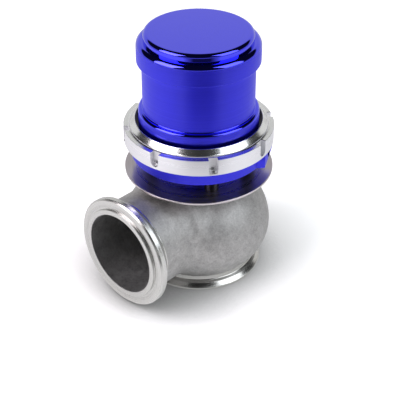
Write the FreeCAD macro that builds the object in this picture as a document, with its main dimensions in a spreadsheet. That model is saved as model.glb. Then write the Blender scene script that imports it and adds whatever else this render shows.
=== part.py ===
import FreeCAD, Part
import math
import os
import re

import Sketcher

# External wastegate for a turbocharged engine, in millimetres.
# The origin is the centre of the inlet flange's face, +Z is up along the valve stem,
# and the outlet points along -Y. Gas enters from below, under the valve, and leaves at the outlet.

doc = FreeCAD.newDocument("turbo_wastegate")
sheet = doc.addObject("Spreadsheet::Sheet", "Sizes")

# Driving dimensions: alias, value, what it is
DIMENSIONS = [
    ("running_gap", 0.08, "radial play of the stem in its guide"),
    ("thread_gap", 0.1, "radial play of parts that screw together"),
    ("fit_gap", 0.05, "radial play of parts that are pressed or slipped into each other"),
    ("seat_gap", 0.05, "play between the valve's cone and its seat"),
    # cast body
    ("globe_radius", 53, "outside of the globe at its widest"),
    ("globe_level", 34, "height of the widest part"),
    ("globe_upper_arc", 40, "profile radius above the widest part"),
    ("globe_lower_arc", 33, "profile radius below the widest part"),
    ("casting_wall", 4.5, "wall of the globe"),
    ("deck_level", 79.8, "machined top of the casting"),
    ("deck_margin", 6.5, "from the bolt circle out to the edge of the top flange"),
    ("deck_edge", 5.3, "thickness of the top flange at its edge"),
    ("deck_root", 34, "radius where the top flange meets the globe"),
    ("guide_boss_radius", 13, "boss that holds the guide"),
    ("guide_boss_taper", 1.5, "how much narrower the boss is at its lower end"),
    ("guide_boss_level", 52, "lower end of that boss"),
    # inlet flange, for a V-band clamp
    ("inlet_flange_radius", 46.5, "rim of the inlet flange"),
    ("flange_rim", 2, "straight part of both flange rims"),
    ("flange_cone", 5, "height of the cone behind both rims"),
    ("inlet_cone_radius", 42.4, "small end of the inlet flange's cone"),
    ("inlet_neck_radius", 41.5, "groove between the inlet flange and the globe"),
    # outlet flange, for a V-band clamp
    ("outlet_level", 42.2, "height of the outlet's axis"),
    ("outlet_reach", 81.1, "from the stem's axis to the outlet's pilot face"),
    ("outlet_bore", 60, "diameter of the machined outlet bore"),
    ("outlet_bore_depth", 12, "length of the machined outlet bore"),
    ("passage_radius", 30.5, "cast passage behind the machined bore"),
    ("neck_radius", 34.4, "outside of the outlet neck"),
    ("neck_blend", 15, "profile radius where the neck flares into the globe"),
    ("pilot_radius", 34.6, "raised pilot ring on the outlet face"),
    ("pilot_height", 3.8, "how far the pilot ring stands out"),
    ("outlet_flange_radius", 41.7, "rim of the outlet flange"),
    ("outlet_cone_radius", 37.4, "small end of the outlet flange's cone"),
    ("collar_radius", 36.6, "turned collar behind the outlet flange"),
    ("collar_length", 3.5, "length of that collar"),
    # valve and seat
    ("seat_bore", 60, "diameter of the seat's throat"),
    ("seat_height", 12, "height of the seat ring"),
    ("seat_radius", 36, "outside of the seat ring"),
    ("seat_lip_radius", 39.5, "locating lip at the seat's foot"),
    ("seat_lip", 3, "thickness of that lip"),
    ("seat_face", 3, "width and height of the 45 degree seat face"),
    ("head_overlap", 2.6, "how far the valve head reaches past the throat"),
    ("head_rim", 1.9, "thickness of the valve head's rim"),
    ("head_crown", 5, "rise of the valve head from its rim to the stem's root"),
    ("stem_radius", 5, "valve stem"),
    ("stem_root", 9, "radius of the flare from the head into the stem"),
    ("stem_thread_radius", 4, "threaded end of the stem"),
    ("stem_tail", 1.9, "thread left standing above the nut"),
    ("guide_radius", 9, "outside of the guide bush"),
    ("guide_level", 50, "lower end of the guide bush"),
    ("guide_length", 32.5, "length of the guide bush"),
    # heat shield and its stack
    ("gasket_thickness", 0.5, "gasket between the casting and the shield"),
    ("shield_radius", 54.2, "heat shield"),
    ("shield_thickness", 1.7, "heat shield sheet"),
    ("shield_hole_radius", 15, "middle hole of the shield and the gasket"),
    ("spacer_height", 11.7, "air gap that the spacers keep under the housing"),
    ("spacer_radius", 5, "outside of a spacer"),
    ("bolt_inset", 6, "from the housing's bore in to the bolt circle"),
    ("bolt_angle", 58, "angle of the bolts from the outlet's direction, in degrees"),
    ("bolt_radius", 3, "shank of the housing bolts"),
    ("bolt_hole_gap", 0.3, "play of the bolts in what they pass through"),
    ("bolt_grip", 6, "how deep the bolts screw into the casting"),
    ("bolt_head_radius", 4.9, "bolt head"),
    ("bolt_head_height", 4, "bolt head"),
    ("bolt_sink", 1, "counterbore of the bolt heads in the floor"),
    ("bolt_socket", 4, "hexagon socket across its flats"),
    ("bolt_socket_depth", 2, "depth of that socket"),
    # lower housing
    ("skirt_step", 2.4, "how far the housing's outside stands out past its thread"),
    ("housing_skirt", 10.2, "height of that outside, up to its step under the ring"),
    ("housing_height", 16.3, "from the housing's underside to its top face"),
    ("housing_wall", 4.4, "wall of the lower housing at its thread"),
    ("floor_thickness", 3.5, "floor of the lower housing"),
    ("hub_radius", 14, "boss under the floor that holds the stem seal"),
    ("hub_depth", 9.7, "how far that boss hangs below the floor's underside"),
    ("stem_hole_radius", 5.6, "hole below the stem seal"),
    ("seal_radius", 9, "outside of the stem seal"),
    ("seal_height", 5, "stem seal"),
    ("circlip_height", 1, "circlip over the stem seal"),
    ("circlip_groove", 0.8, "depth of its groove"),
    ("circlip_width", 2.2, "radial width of the circlip"),
    ("circlip_opening", 5, "gap between the circlip's ends"),
    ("port_radius", 4.3, "tapped ports, at their tapping size"),
    ("port_depth", 6.5, "length of the tapped ports"),
    ("port_drill_radius", 1.4, "drilling from a lower port into the housing"),
    ("port_boss_height", 2.5, "how far a lower port's flat face stands out past the housing"),
    ("port_boss_width", 30.4, "width of a lower port's flat boss"),
    ("port_angle", 120, "angle of the lower ports from the outlet's direction, in degrees"),
    ("port_root_radius", 4, "fillet where a port boss meets the housing"),
    # diaphragm and what moves with it
    ("lift", 11, "travel of the valve"),
    ("diaphragm_thickness", 1.2, "diaphragm"),
    ("bead_height", 2, "clamped rim of the diaphragm"),
    ("bead_inset", 0.5, "how far the bead stays inside the housing's top face"),
    ("plate_radius", 29, "plate under the diaphragm"),
    ("plate_thickness", 2, "plate under the diaphragm"),
    ("piston_radius", 28.5, "spring seat on top of the diaphragm"),
    ("piston_floor", 2.8, "thickness of the spring seat"),
    ("piston_rim_height", 7, "height of the spring seat's rim"),
    ("piston_rim", 2.4, "wall of the spring seat's rim"),
    ("piston_hub_radius", 9, "hub of the spring seat"),
    ("piston_hub_height", 4, "hub of the spring seat"),
    ("washer_radius", 8.5, "washer under the stem nut"),
    ("washer_thickness", 1.6, "washer under the stem nut"),
    ("nut_width", 13, "stem nut across its flats"),
    ("nut_height", 6.5, "stem nut"),
    ("outer_spring_radius", 23, "mean radius of the outer spring"),
    ("outer_wire", 4.8, "wire of the outer spring"),
    ("outer_turns", 5, "turns of the outer spring"),
    ("inner_spring_radius", 14.6, "mean radius of the inner spring"),
    ("inner_wire", 3.4, "wire of the inner spring"),
    ("inner_turns", 6, "turns of the inner spring"),
    # top can
    ("can_wall", 3.75, "wall of the can's cylinder"),
    ("can_height", 188.5, "top of the can above the inlet face"),
    ("can_ceiling", 5.5, "thickness of the can's top"),
    ("can_corner", 2.5, "bevel inside, under the can's top"),
    ("can_mouth", 4.5, "bevel at the can's open end"),
    ("can_flange", 3, "thickness of the flange that the ring clamps"),
    ("flange_play", 0.3, "how far that flange stays inside the thread"),
    ("flange_step", 3.2, "how far that flange reaches past the can's foot"),
    ("foot_step", 3.15, "how far the can's foot stands out past its cylinder"),
    ("foot_top", 19.55, "from the can's lower face to where the foot has run into the cylinder"),
    ("foot_round", 1.5, "round on the foot's upper edge"),
    ("rim_step", 3.55, "how far the band round the can's head stands out past the cylinder"),
    ("rim_drop", 21.3, "from the can's top down to the band's underside"),
    ("rim_round", 3, "round on the band's upper edge"),
    ("cap_step", 5, "from the band's outside in to the raised disc on top"),
    ("cap_height", 6, "how far the disc stands above the band"),
    ("cap_round", 2, "round on the disc's edge"),
    ("upper_port_drop", 14.5, "from the can's top down to the upper port"),
    ("upper_port_sink", 0.8, "depth of the upper port's spot face in the band"),
    ("upper_port_flat_radius", 7, "spot face of the upper port"),
    # lock ring
    ("ring_radius", 54.3, "outside of the lock ring"),
    ("ring_wall", 7.4, "from the ring's outside in to the housing's thread"),
    ("ring_level", 104.3, "lower face of the lock ring"),
    ("ring_height", 12.1, "height of the ring's band"),
    ("ring_edge", 0.4, "bevel on the ring's band"),
    ("lip_height", 4.6, "how far the ring's inner lip stands above the band"),
    ("lip_step", 1.1, "how far the lip's inside stands in past the thread"),
    ("lip_edge", 0.6, "width of the lip's upper edge"),
    ("ring_land", 5.6, "flat top of the ring's band, from its outside in to the lip"),
    ("lip_arc", 7, "profile radius of the lip's outside"),
    ("shoulder_gap", 0.4, "play between the ring's shoulder and the can's foot"),
    ("shoulder_height", 2.7, "thickness of the ring's shoulder"),
    ("slip_washer", 0.8, "thickness of the slip washer under the shoulder"),
    ("slot_count", 8, "spanner slots round the ring"),
    ("slot_width", 6.4, "width of a slot"),
    ("slot_depth", 5, "depth of a slot"),
    ("slot_length", 10.4, "from the top of the band to the slot's round end"),
    ("ring_turn", 9.3, "angle at which the tightened ring came to rest, in degrees"),
    # dowel between the housing and the can
    ("dowel_radius", 1.2, "dowel"),
    ("dowel_inset", 2.3, "from the housing's thread in to the dowel"),
    ("dowel_depth", 4, "how deep the dowel is pressed into the housing"),
    ("dowel_height", 3.8, "how far it stands out of the housing"),
]

for row, (alias, number, note) in enumerate(DIMENSIONS, start=1):
    sheet.set(f"A{row}", note)
    sheet.set(f"B{row}", str(number))
    sheet.setAlias(f"B{row}", alias)
doc.recompute()

ALIASES = {alias for alias, number, note in DIMENSIONS}

# Radii and heights that follow from others, so that what fits together stays fitted
FOLLOWING = {
    "housing_thread_radius": "(ring_radius - ring_wall)",
    "housing_bore_radius": "(housing_thread_radius - housing_wall)",
    "housing_radius": "(housing_thread_radius + skirt_step)",
    "port_boss_reach": "(housing_radius + port_boss_height)",
    "bolt_circle": "(housing_bore_radius - bolt_inset)",
    "deck_radius": "(bolt_circle + deck_margin)",
    "dowel_circle": "(housing_thread_radius - dowel_inset)",
    "can_flange_radius": "(housing_thread_radius - flange_play)",
    "foot_radius": "(can_flange_radius - flange_step)",
    "can_radius": "(foot_radius - foot_step)",
    "can_bore_radius": "(can_radius - can_wall)",
    "rim_radius": "(can_radius + rim_step)",
    "cap_radius": "(rim_radius - cap_step)",
    "lip_radius": "(housing_thread_radius - lip_step)",
    "lip_foot_radius": "(ring_radius - ring_land)",
    "rim_level": "(can_height - rim_drop)",
    "upper_port_level": "(can_height - upper_port_drop)",
    "upper_port_flat": "(rim_radius - upper_port_sink)",
    "seat_cone_drop": "(seat_height - seat_face)",
    "shield_level": "(deck_level + gasket_thickness)",
    "shield_top": "(shield_level + shield_thickness)",
    "housing_level": "(shield_top + spacer_height)",
    "floor_top": "(housing_level + floor_thickness)",
    "housing_top": "(housing_level + housing_height)",
    "seal_level": "(floor_top - circlip_height * 2 - seal_height)",
    "circlip_level": "(seal_level + seal_height)",
    "can_level": "(housing_top + bead_height)",
    "slip_level": "(can_level + can_flange)",
    "shoulder_level": "(slip_level + slip_washer)",
    "ring_top": "(ring_level + ring_height)",
    "ceiling_level": "(can_height - can_ceiling)",
    "diaphragm_level": "(can_level - diaphragm_thickness - lift)",
    "plate_level": "(diaphragm_level - plate_thickness)",
    "piston_level": "(diaphragm_level + diaphragm_thickness)",
    "spring_level": "(piston_level + piston_floor)",
    "washer_level": "(piston_level + piston_hub_height)",
    "nut_level": "(washer_level + washer_thickness)",
    "stem_top": "(nut_level + nut_height + stem_tail)",
    "port_level": "(housing_level + housing_skirt / 2)",
}
FULL_TURN = 360


def bound(text):
    """The expression with following sizes written out and each alias as the sheet's own cell."""

    def spell(word):
        name = word.group()
        if name in FOLLOWING:
            return bound(FOLLOWING[name])
        return "Sizes." + name if name in ALIASES else name

    return re.sub(r"[a-z][a-z_]*", spell, text)


def size(text):
    """The number that an expression over the sheet's aliases gives now."""
    return float(sheet.evalExpression(bound(text).replace("Sizes.", "")))


def bind(thing, **expressions):
    """Set properties to expressions over the sheet."""
    for name, text in expressions.items():
        thing.setExpression(name, bound(text))


def new_body(label):
    body = doc.addObject("PartDesign::Body", label)
    body.Label = label
    return body


def sketch_on(body, role, name, offset="0", turn="0"):
    """A sketch on one of the body's origin planes, moved along its normal and turned in its plane."""
    sketch = body.newObject("Sketcher::SketchObject", name)
    plane = next(item for item in body.Origin.OriginFeatures if item.Role == role)
    sketch.AttachmentSupport = [(plane, "")]
    sketch.MapMode = "FlatFace"
    if offset != "0":
        sketch.setExpression("AttachmentOffset.Base.z", bound(offset))
    if turn != "0":
        sketch.setExpression("AttachmentOffset.Rotation.Angle", bound(turn))
    return sketch


def pin_down(sketch, element, end, across, up):
    """Fix a point of the sketch by two expressions."""
    for kind, text, own_axis in (("DistanceX", across, -2), ("DistanceY", up, -1)):
        if text == "0":
            sketch.addConstraint(Sketcher.Constraint("PointOnObject", element, end, own_axis))
        else:
            number = sketch.addConstraint(
                Sketcher.Constraint(kind, -1, 1, element, end, size(text))
            )
            sketch.setExpression(f"Constraints[{number}]", bound(text))


def outline(sketch, corners):
    """A closed outline. Each corner is (across, up), or (across, up, radius, side) where the way to
    the next corner is an arc whose centre lies on the left or right of that way."""
    spots = [FreeCAD.Vector(size(corner[0]), size(corner[1]), 0) for corner in corners]
    ends = []
    for number, corner in enumerate(corners):
        here, there = spots[number], spots[(number + 1) % len(spots)]
        if len(corner) == 2:
            element = sketch.addGeometry(Part.LineSegment(here, there))
            ends.append((element, 1, 2))
            continue
        radius, left = size(corner[2]), corner[3] == "left"
        chord = there - here
        middle = (here + there) * 0.5
        sideways = FreeCAD.Vector(-chord.y, chord.x, 0).normalize() * (1 if left else -1)
        centre = middle + sideways * math.sqrt(max(radius**2 - (chord.Length / 2) ** 2, 0))
        first, last = (here, there) if left else (there, here)
        angles = [math.atan2(spot.y - centre.y, spot.x - centre.x) for spot in (first, last)]
        circle = Part.Circle(centre, FreeCAD.Vector(0, 0, 1), radius)
        element = sketch.addGeometry(Part.ArcOfCircle(circle, *angles))
        ends.append((element, 1, 2) if left else (element, 2, 1))
        rule = sketch.addConstraint(Sketcher.Constraint("Radius", element, radius))
        sketch.setExpression(f"Constraints[{rule}]", bound(corner[2]))
    for number, corner in enumerate(corners):
        element, start, _ = ends[number]
        before, _, end = ends[number - 1]
        sketch.addConstraint(Sketcher.Constraint("Coincident", before, end, element, start))
        pin_down(sketch, element, start, corner[0], corner[1])
    return sketch


def circles(sketch, radius, centres):
    """Circles of one radius; each centre is (across, up)."""
    for across, up in centres:
        centre = FreeCAD.Vector(size(across), size(up), 0)
        element = sketch.addGeometry(
            Part.Circle(centre, FreeCAD.Vector(0, 0, 1), size(radius))
        )
        number = sketch.addConstraint(Sketcher.Constraint("Radius", element, size(radius)))
        sketch.setExpression(f"Constraints[{number}]", bound(radius))
        pin_down(sketch, element, 3, across, up)
    return sketch


def drill(body, name, level, radius, centres, depth, upward=False):
    """Round holes down, or up, from a level."""
    sketch = circles(sketch_on(body, "XY_Plane", name + "_circles", level), radius, centres)
    return extrude(body, name, sketch, depth, cut=True, reverse=upward)


def revolve(body, name, sketch, cut=False, axis="V_Axis"):
    """Turn a sketch once round one of its axes, as material or as a cut."""
    kind = "PartDesign::Groove" if cut else "PartDesign::Revolution"
    feature = body.newObject(kind, name)
    feature.Profile = sketch
    feature.ReferenceAxis = (sketch, [axis])
    feature.Angle = FULL_TURN
    return finish_feature(body, feature, cut)


def extrude(body, name, sketch, length, cut=False, reverse=False):
    """Pad a sketch, or cut a pocket with it, by a length from its plane."""
    kind = "PartDesign::Pocket" if cut else "PartDesign::Pad"
    feature = body.newObject(kind, name)
    feature.Profile = sketch
    feature.Reversed = reverse
    feature.setExpression("Length", bound(length))
    return finish_feature(body, feature, cut)


def finish_feature(body, feature, cut):
    """Recompute and see that a cut cut and an addition added."""
    before = feature.BaseFeature.Shape.Volume if feature.BaseFeature else 0
    doc.recompute()
    after = feature.Shape.Volume
    if (after >= before) if cut else (after <= before):
        raise RuntimeError(f"{body.Label}: {feature.Name} changed nothing")
    return feature


def repeat_round(body, name, original, count):
    """Copies of a feature round the body's Z axis."""
    pattern = body.newObject("PartDesign::PolarPattern", name)
    pattern.Originals = [original]
    axis = next(item for item in body.Origin.OriginFeatures if item.Role == "Z_Axis")
    pattern.Axis = (axis, [""])
    pattern.Angle = FULL_TURN
    pattern.setExpression("Occurrences", bound(count))
    body.Tip = pattern
    doc.recompute()
    return pattern


def mirror_across(body, name, originals, role):
    """The mirror image of features in one of the body's origin planes."""
    feature = body.newObject("PartDesign::Mirrored", name)
    feature.Originals = originals
    plane = next(item for item in body.Origin.OriginFeatures if item.Role == role)
    feature.MirrorPlane = (plane, [""])
    body.Tip = feature
    doc.recompute()
    return feature


def edges_at(shape, wanted):
    """Names of the full circles round Z that have the given radii and heights."""
    names = []
    for number, edge in enumerate(shape.Edges, start=1):
        curve = edge.Curve
        if curve.TypeId != "Part::GeomCircle":
            continue
        for radius, height in wanted:
            if abs(curve.Radius - size(radius)) < 1e-4 and abs(curve.Center.z - size(height)) < 1e-4:
                names.append(f"Edge{number}")
    return names


def bevel(body, name, base, wanted, width, kind="PartDesign::Chamfer"):
    """Chamfer or fillet the circles at the given radii and heights."""
    feature = body.newObject(kind, name)
    feature.Base = (base, edges_at(base.Shape, wanted))
    bind(feature, **{"Size" if kind.endswith("Chamfer") else "Radius": width})
    doc.recompute()
    return feature


def turned(label, corners):
    """A piece that is one outline turned round the stem's axis."""
    body = new_body(label)
    sketch = outline(sketch_on(body, "XZ_Plane", label + "_outline"), corners)
    revolve(body, label + "_turned", sketch)
    return body


def tube(label, inner, outer, bottom, height):
    """A plain ring or bush round the stem's axis."""
    top = f"{bottom} + {height}"
    return turned(label, [(inner, bottom), (outer, bottom), (outer, top), (inner, top)])


def bolt_places(circle="bolt_circle", angle="bolt_angle"):
    """The four bolt centres, two each side of the outlet's axis."""
    across = f"{circle} * sin({angle})"
    along = f"{circle} * cos({angle})"
    return [
        (f"{sign_x}{across}", f"{sign_y}{along}") for sign_x in ("", "-") for sign_y in ("", "-")
    ]


# Cast body: a globe on the inlet flange, with the outlet neck on its side
def make_valve_body():
    body = new_body("valve_body")
    globe_turn = "(globe_radius - globe_upper_arc)"
    lower_centre = "(globe_radius - globe_lower_arc)"
    crown = "(globe_level + globe_upper_arc)"
    neck_meets = (
        "(globe_level - sqrt(globe_lower_arc * globe_lower_arc"
        f" - (inlet_neck_radius - {lower_centre}) * (inlet_neck_radius - {lower_centre})))"
    )
    globe = outline(
        sketch_on(body, "XZ_Plane", "globe_outline"),
        [
            ("0", "0"),
            ("inlet_flange_radius", "0"),
            ("inlet_flange_radius", "flange_rim"),
            ("inlet_cone_radius", "flange_rim + flange_cone"),
            ("inlet_neck_radius", "flange_rim + flange_cone"),
            ("inlet_neck_radius", neck_meets, "globe_lower_arc", "left"),
            ("globe_radius", "globe_level", "globe_upper_arc", "left"),
            (globe_turn, crown),
            ("0", crown),
        ],
    )
    revolve(body, "globe", globe)

    # The neck flares into the globe where its profile arc touches the globe's plan circle
    plan = (
        f"({globe_turn} + sqrt(globe_upper_arc * globe_upper_arc"
        " - (outlet_level - globe_level) * (outlet_level - globe_level)))"
    )
    flare_start = (
        f"sqrt(({plan} + neck_blend) * ({plan} + neck_blend)"
        " - (neck_radius + neck_blend) * (neck_radius + neck_blend))"
    )
    share = f"({plan} / ({plan} + neck_blend))"
    face = "(outlet_reach - pilot_height)"
    rim_back = f"({face} - flange_rim)"
    cone_back = f"({rim_back} - flange_cone)"
    neck = sketch_on(body, "YZ_Plane", "neck_outline")
    axis_line = neck.addGeometry(
        Part.LineSegment(
            FreeCAD.Vector(-size("outlet_reach"), size("outlet_level"), 0),
            FreeCAD.Vector(-1, size("outlet_level"), 0),
        ),
        True,
    )
    pin_down(neck, axis_line, 1, "-outlet_reach", "outlet_level")
    pin_down(neck, axis_line, 2, "-globe_level / 2", "outlet_level")
    above = "outlet_level + "
    outline(
        neck,
        [
            ("-outlet_reach", "outlet_level"),
            ("-outlet_reach", above + "pilot_radius"),
            (f"-{face}", above + "pilot_radius"),
            (f"-{face}", above + "outlet_flange_radius"),
            (f"-{rim_back}", above + "outlet_flange_radius"),
            (f"-{cone_back}", above + "outlet_cone_radius"),
            (f"-{cone_back}", above + "collar_radius"),
            (f"-({cone_back} - collar_length)", above + "collar_radius"),
            (f"-({cone_back} - collar_length)", above + "neck_radius"),
            (f"-{flare_start}", above + "neck_radius", "neck_blend", "left"),
            (f"-{flare_start} * {share}", above + f"(neck_radius + neck_blend) * {share}"),
            ("-globe_level / 2", above + f"(neck_radius + neck_blend) * {share}"),
            ("-globe_level / 2", "outlet_level"),
        ],
    )
    revolve(body, "neck", neck, axis="Axis0")

    deck_meets = (
        "(globe_level + sqrt(globe_upper_arc * globe_upper_arc"
        f" - (deck_root - {globe_turn}) * (deck_root - {globe_turn})))"
    )
    deck = outline(
        sketch_on(body, "XZ_Plane", "deck_outline"),
        [
            ("0", deck_meets),
            ("deck_root", deck_meets),
            ("deck_radius", "deck_level - deck_edge"),
            ("deck_radius", "deck_level"),
            ("0", "deck_level"),
        ],
    )
    revolve(body, "deck", deck)

    # The flare is faced off level with the deck
    facing = sketch_on(body, "XY_Plane", "facing_outline", "deck_level")
    circles(facing, "outlet_reach", [("0", "0")])
    extrude(body, "facing", facing, "globe_radius", cut=True, reverse=True)

    inner_upper = "(globe_upper_arc - casting_wall)"
    inner_lower = "(globe_lower_arc - casting_wall)"
    inner_floor = (
        f"({lower_centre} + sqrt({inner_lower} * {inner_lower}"
        " - (globe_level - seat_height) * (globe_level - seat_height)))"
    )
    inner_boss = (
        f"(globe_level + sqrt({inner_upper} * {inner_upper}"
        f" - (guide_boss_radius - {globe_turn}) * (guide_boss_radius - {globe_turn})))"
    )
    chamber = outline(
        sketch_on(body, "XZ_Plane", "chamber_outline"),
        [
            ("0", "0"),
            ("seat_lip_radius + fit_gap", "0"),
            ("seat_lip_radius + fit_gap", "seat_lip"),
            ("seat_radius + fit_gap", "seat_lip"),
            ("seat_radius + fit_gap", "seat_height"),
            (inner_floor, "seat_height", inner_lower, "left"),
            ("globe_radius - casting_wall", "globe_level", inner_upper, "left"),
            ("guide_boss_radius", inner_boss),
            ("guide_boss_radius - guide_boss_taper", "guide_boss_level"),
            ("0", "guide_boss_level"),
        ],
    )
    revolve(body, "chamber", chamber, cut=True)
    for name, radius, length in (
        ("passage", "passage_radius", "outlet_reach - outlet_bore_depth"),
        ("machined_bore", "outlet_bore / 2", "outlet_reach + pilot_height"),
    ):
        opening = circles(sketch_on(body, "XZ_Plane", name + "_circle"), radius, [("0", "outlet_level")])
        extrude(body, name, opening, length, cut=True, reverse=True)
    drill(body, "guide_hole", "deck_level", "guide_radius + fit_gap", [("0", "0")], "deck_level - globe_level")
    drill(body, "tapped_holes", "deck_level", "bolt_radius + fit_gap", bolt_places(), "bolt_grip")
    return body


def make_valve_seat():
    throat = "seat_bore / 2"
    return turned(
        "valve_seat",
        [
            (throat, "0"),
            ("seat_lip_radius", "0"),
            ("seat_lip_radius", "seat_lip - seat_gap"),
            ("seat_radius", "seat_lip - seat_gap"),
            ("seat_radius", "seat_height"),
            (f"{throat} + seat_face", "seat_height"),
            (throat, "seat_cone_drop"),
        ],
    )


# Poppet valve: its cone lies parallel to the seat's, the seat gap away, and stays above the throat
def make_valve():
    lean = "seat_gap * sqrt(2)"
    cone_foot = f"(seat_cone_drop + {lean})"
    cone_top = f"(seat_cone_drop + head_overlap + {lean})"
    head = "(seat_bore / 2 + head_overlap)"
    root_level = f"({cone_top} + head_rim + head_crown)"
    return turned(
        "valve",
        [
            ("0", cone_foot),
            ("seat_bore / 2", cone_foot),
            (head, cone_top),
            (head, f"{cone_top} + head_rim"),
            ("stem_radius + stem_root", root_level, "stem_root", "right"),
            ("stem_radius", f"{root_level} + stem_root"),
            ("stem_radius", "plate_level"),
            ("stem_thread_radius", "plate_level"),
            ("stem_thread_radius", "stem_top"),
            ("0", "stem_top"),
        ],
    )


def make_valve_guide():
    body = tube("valve_guide", "stem_radius + running_gap", "guide_radius", "guide_level", "guide_length")
    ends = [("guide_radius", "guide_level"), ("guide_radius", "guide_level + guide_length")]
    bevel(body, "guide_ends", body.Tip, ends, "guide_radius / 12")
    return body


def make_stem_seal():
    return tube("stem_seal", "stem_radius + running_gap", "seal_radius - fit_gap", "seal_level", "seal_height")


# Circlip: an open ring that sits in its groove over the stem seal
def make_seal_circlip():
    outer = "(seal_radius + circlip_groove - fit_gap)"
    body = tube("seal_circlip", f"{outer} - circlip_width", outer, "circlip_level", "circlip_height")
    half = "circlip_opening / 2"
    gap = outline(
        sketch_on(body, "XY_Plane", "opening_outline", "circlip_level"),
        [(f"-{half}", "0"), (half, "0"), (half, "seal_radius * 2"), (f"-{half}", "seal_radius * 2")],
    )
    extrude(body, "opening", gap, "circlip_height", cut=True, reverse=True)
    return body


def drilled_disc(label, inner, outer, bottom, thickness):
    """A flat disc with a middle hole and holes for the four bolts."""
    body = tube(label, inner, outer, bottom, thickness)
    drill(body, label + "_holes", bottom, "bolt_radius + bolt_hole_gap", bolt_places(), thickness, upward=True)
    return body


def make_heat_shield():
    inner, outer = "shield_hole_radius", "shield_radius"
    body = drilled_disc("heat_shield", inner, outer, "shield_level", "shield_thickness")
    rims = [("shield_radius", "shield_level"), ("shield_radius", "shield_top")]
    bevel(body, "shield_rim", body.Tip, rims, "shield_thickness / 5")
    return body


# Four tubes that hold the housing clear of the shield
def make_shield_spacers():
    group = []
    for number, (across, along) in enumerate(bolt_places(), start=1):
        wall = doc.addObject("Part::Cylinder", f"spacer_wall_{number}")
        hole = doc.addObject("Part::Cylinder", f"spacer_hole_{number}")
        bind(wall, Radius="spacer_radius", Height="spacer_height")
        bind(hole, Radius="bolt_radius + bolt_hole_gap", Height="spacer_height")
        spacer = doc.addObject("Part::Cut", f"spacer_{number}")
        spacer.Base, spacer.Tool = wall, hole
        spacer.setExpression("Placement.Base.x", bound(across))
        spacer.setExpression("Placement.Base.y", bound(along))
        spacer.setExpression("Placement.Base.z", bound("shield_top"))
        group.append(spacer)
    return gather("shield_spacers", group)


# Four socket screws, down through the floor, the spacers and the shield into the casting
def make_housing_bolts():
    group = []
    head_level = "(floor_top - bolt_sink)"
    foot = "(deck_level - bolt_grip)"
    for number, (across, along) in enumerate(bolt_places(), start=1):
        shank = doc.addObject("Part::Cylinder", f"bolt_shank_{number}")
        bind(shank, Radius="bolt_radius", Height=f"{head_level} - {foot}")
        shank.setExpression("Placement.Base.z", bound(foot))
        head = doc.addObject("Part::Cylinder", f"bolt_head_{number}")
        bind(head, Radius="bolt_head_radius", Height="bolt_head_height")
        head.setExpression("Placement.Base.z", bound(head_level))
        socket = doc.addObject("Part::Prism", f"bolt_socket_{number}")
        socket.Polygon = 6
        bind(socket, Circumradius="bolt_socket / sqrt(3)", Height="bolt_socket_depth")
        socket.setExpression(
            "Placement.Base.z", bound(f"{head_level} + bolt_head_height - bolt_socket_depth")
        )
        blank = doc.addObject("Part::Fuse", f"bolt_blank_{number}")
        blank.Base, blank.Tool = shank, head
        bolt = doc.addObject("Part::Cut", f"bolt_{number}")
        bolt.Base, bolt.Tool = blank, socket
        bolt.setExpression("Placement.Base.x", bound(across))
        bolt.setExpression("Placement.Base.y", bound(along))
        group.append(bolt)
    return gather("housing_bolts", group)


def gather(label, members):
    """One sub-part that holds several separate solids."""
    group = doc.addObject("Part::Compound", label)
    group.Links = members
    group.Label = label
    return group


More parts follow.
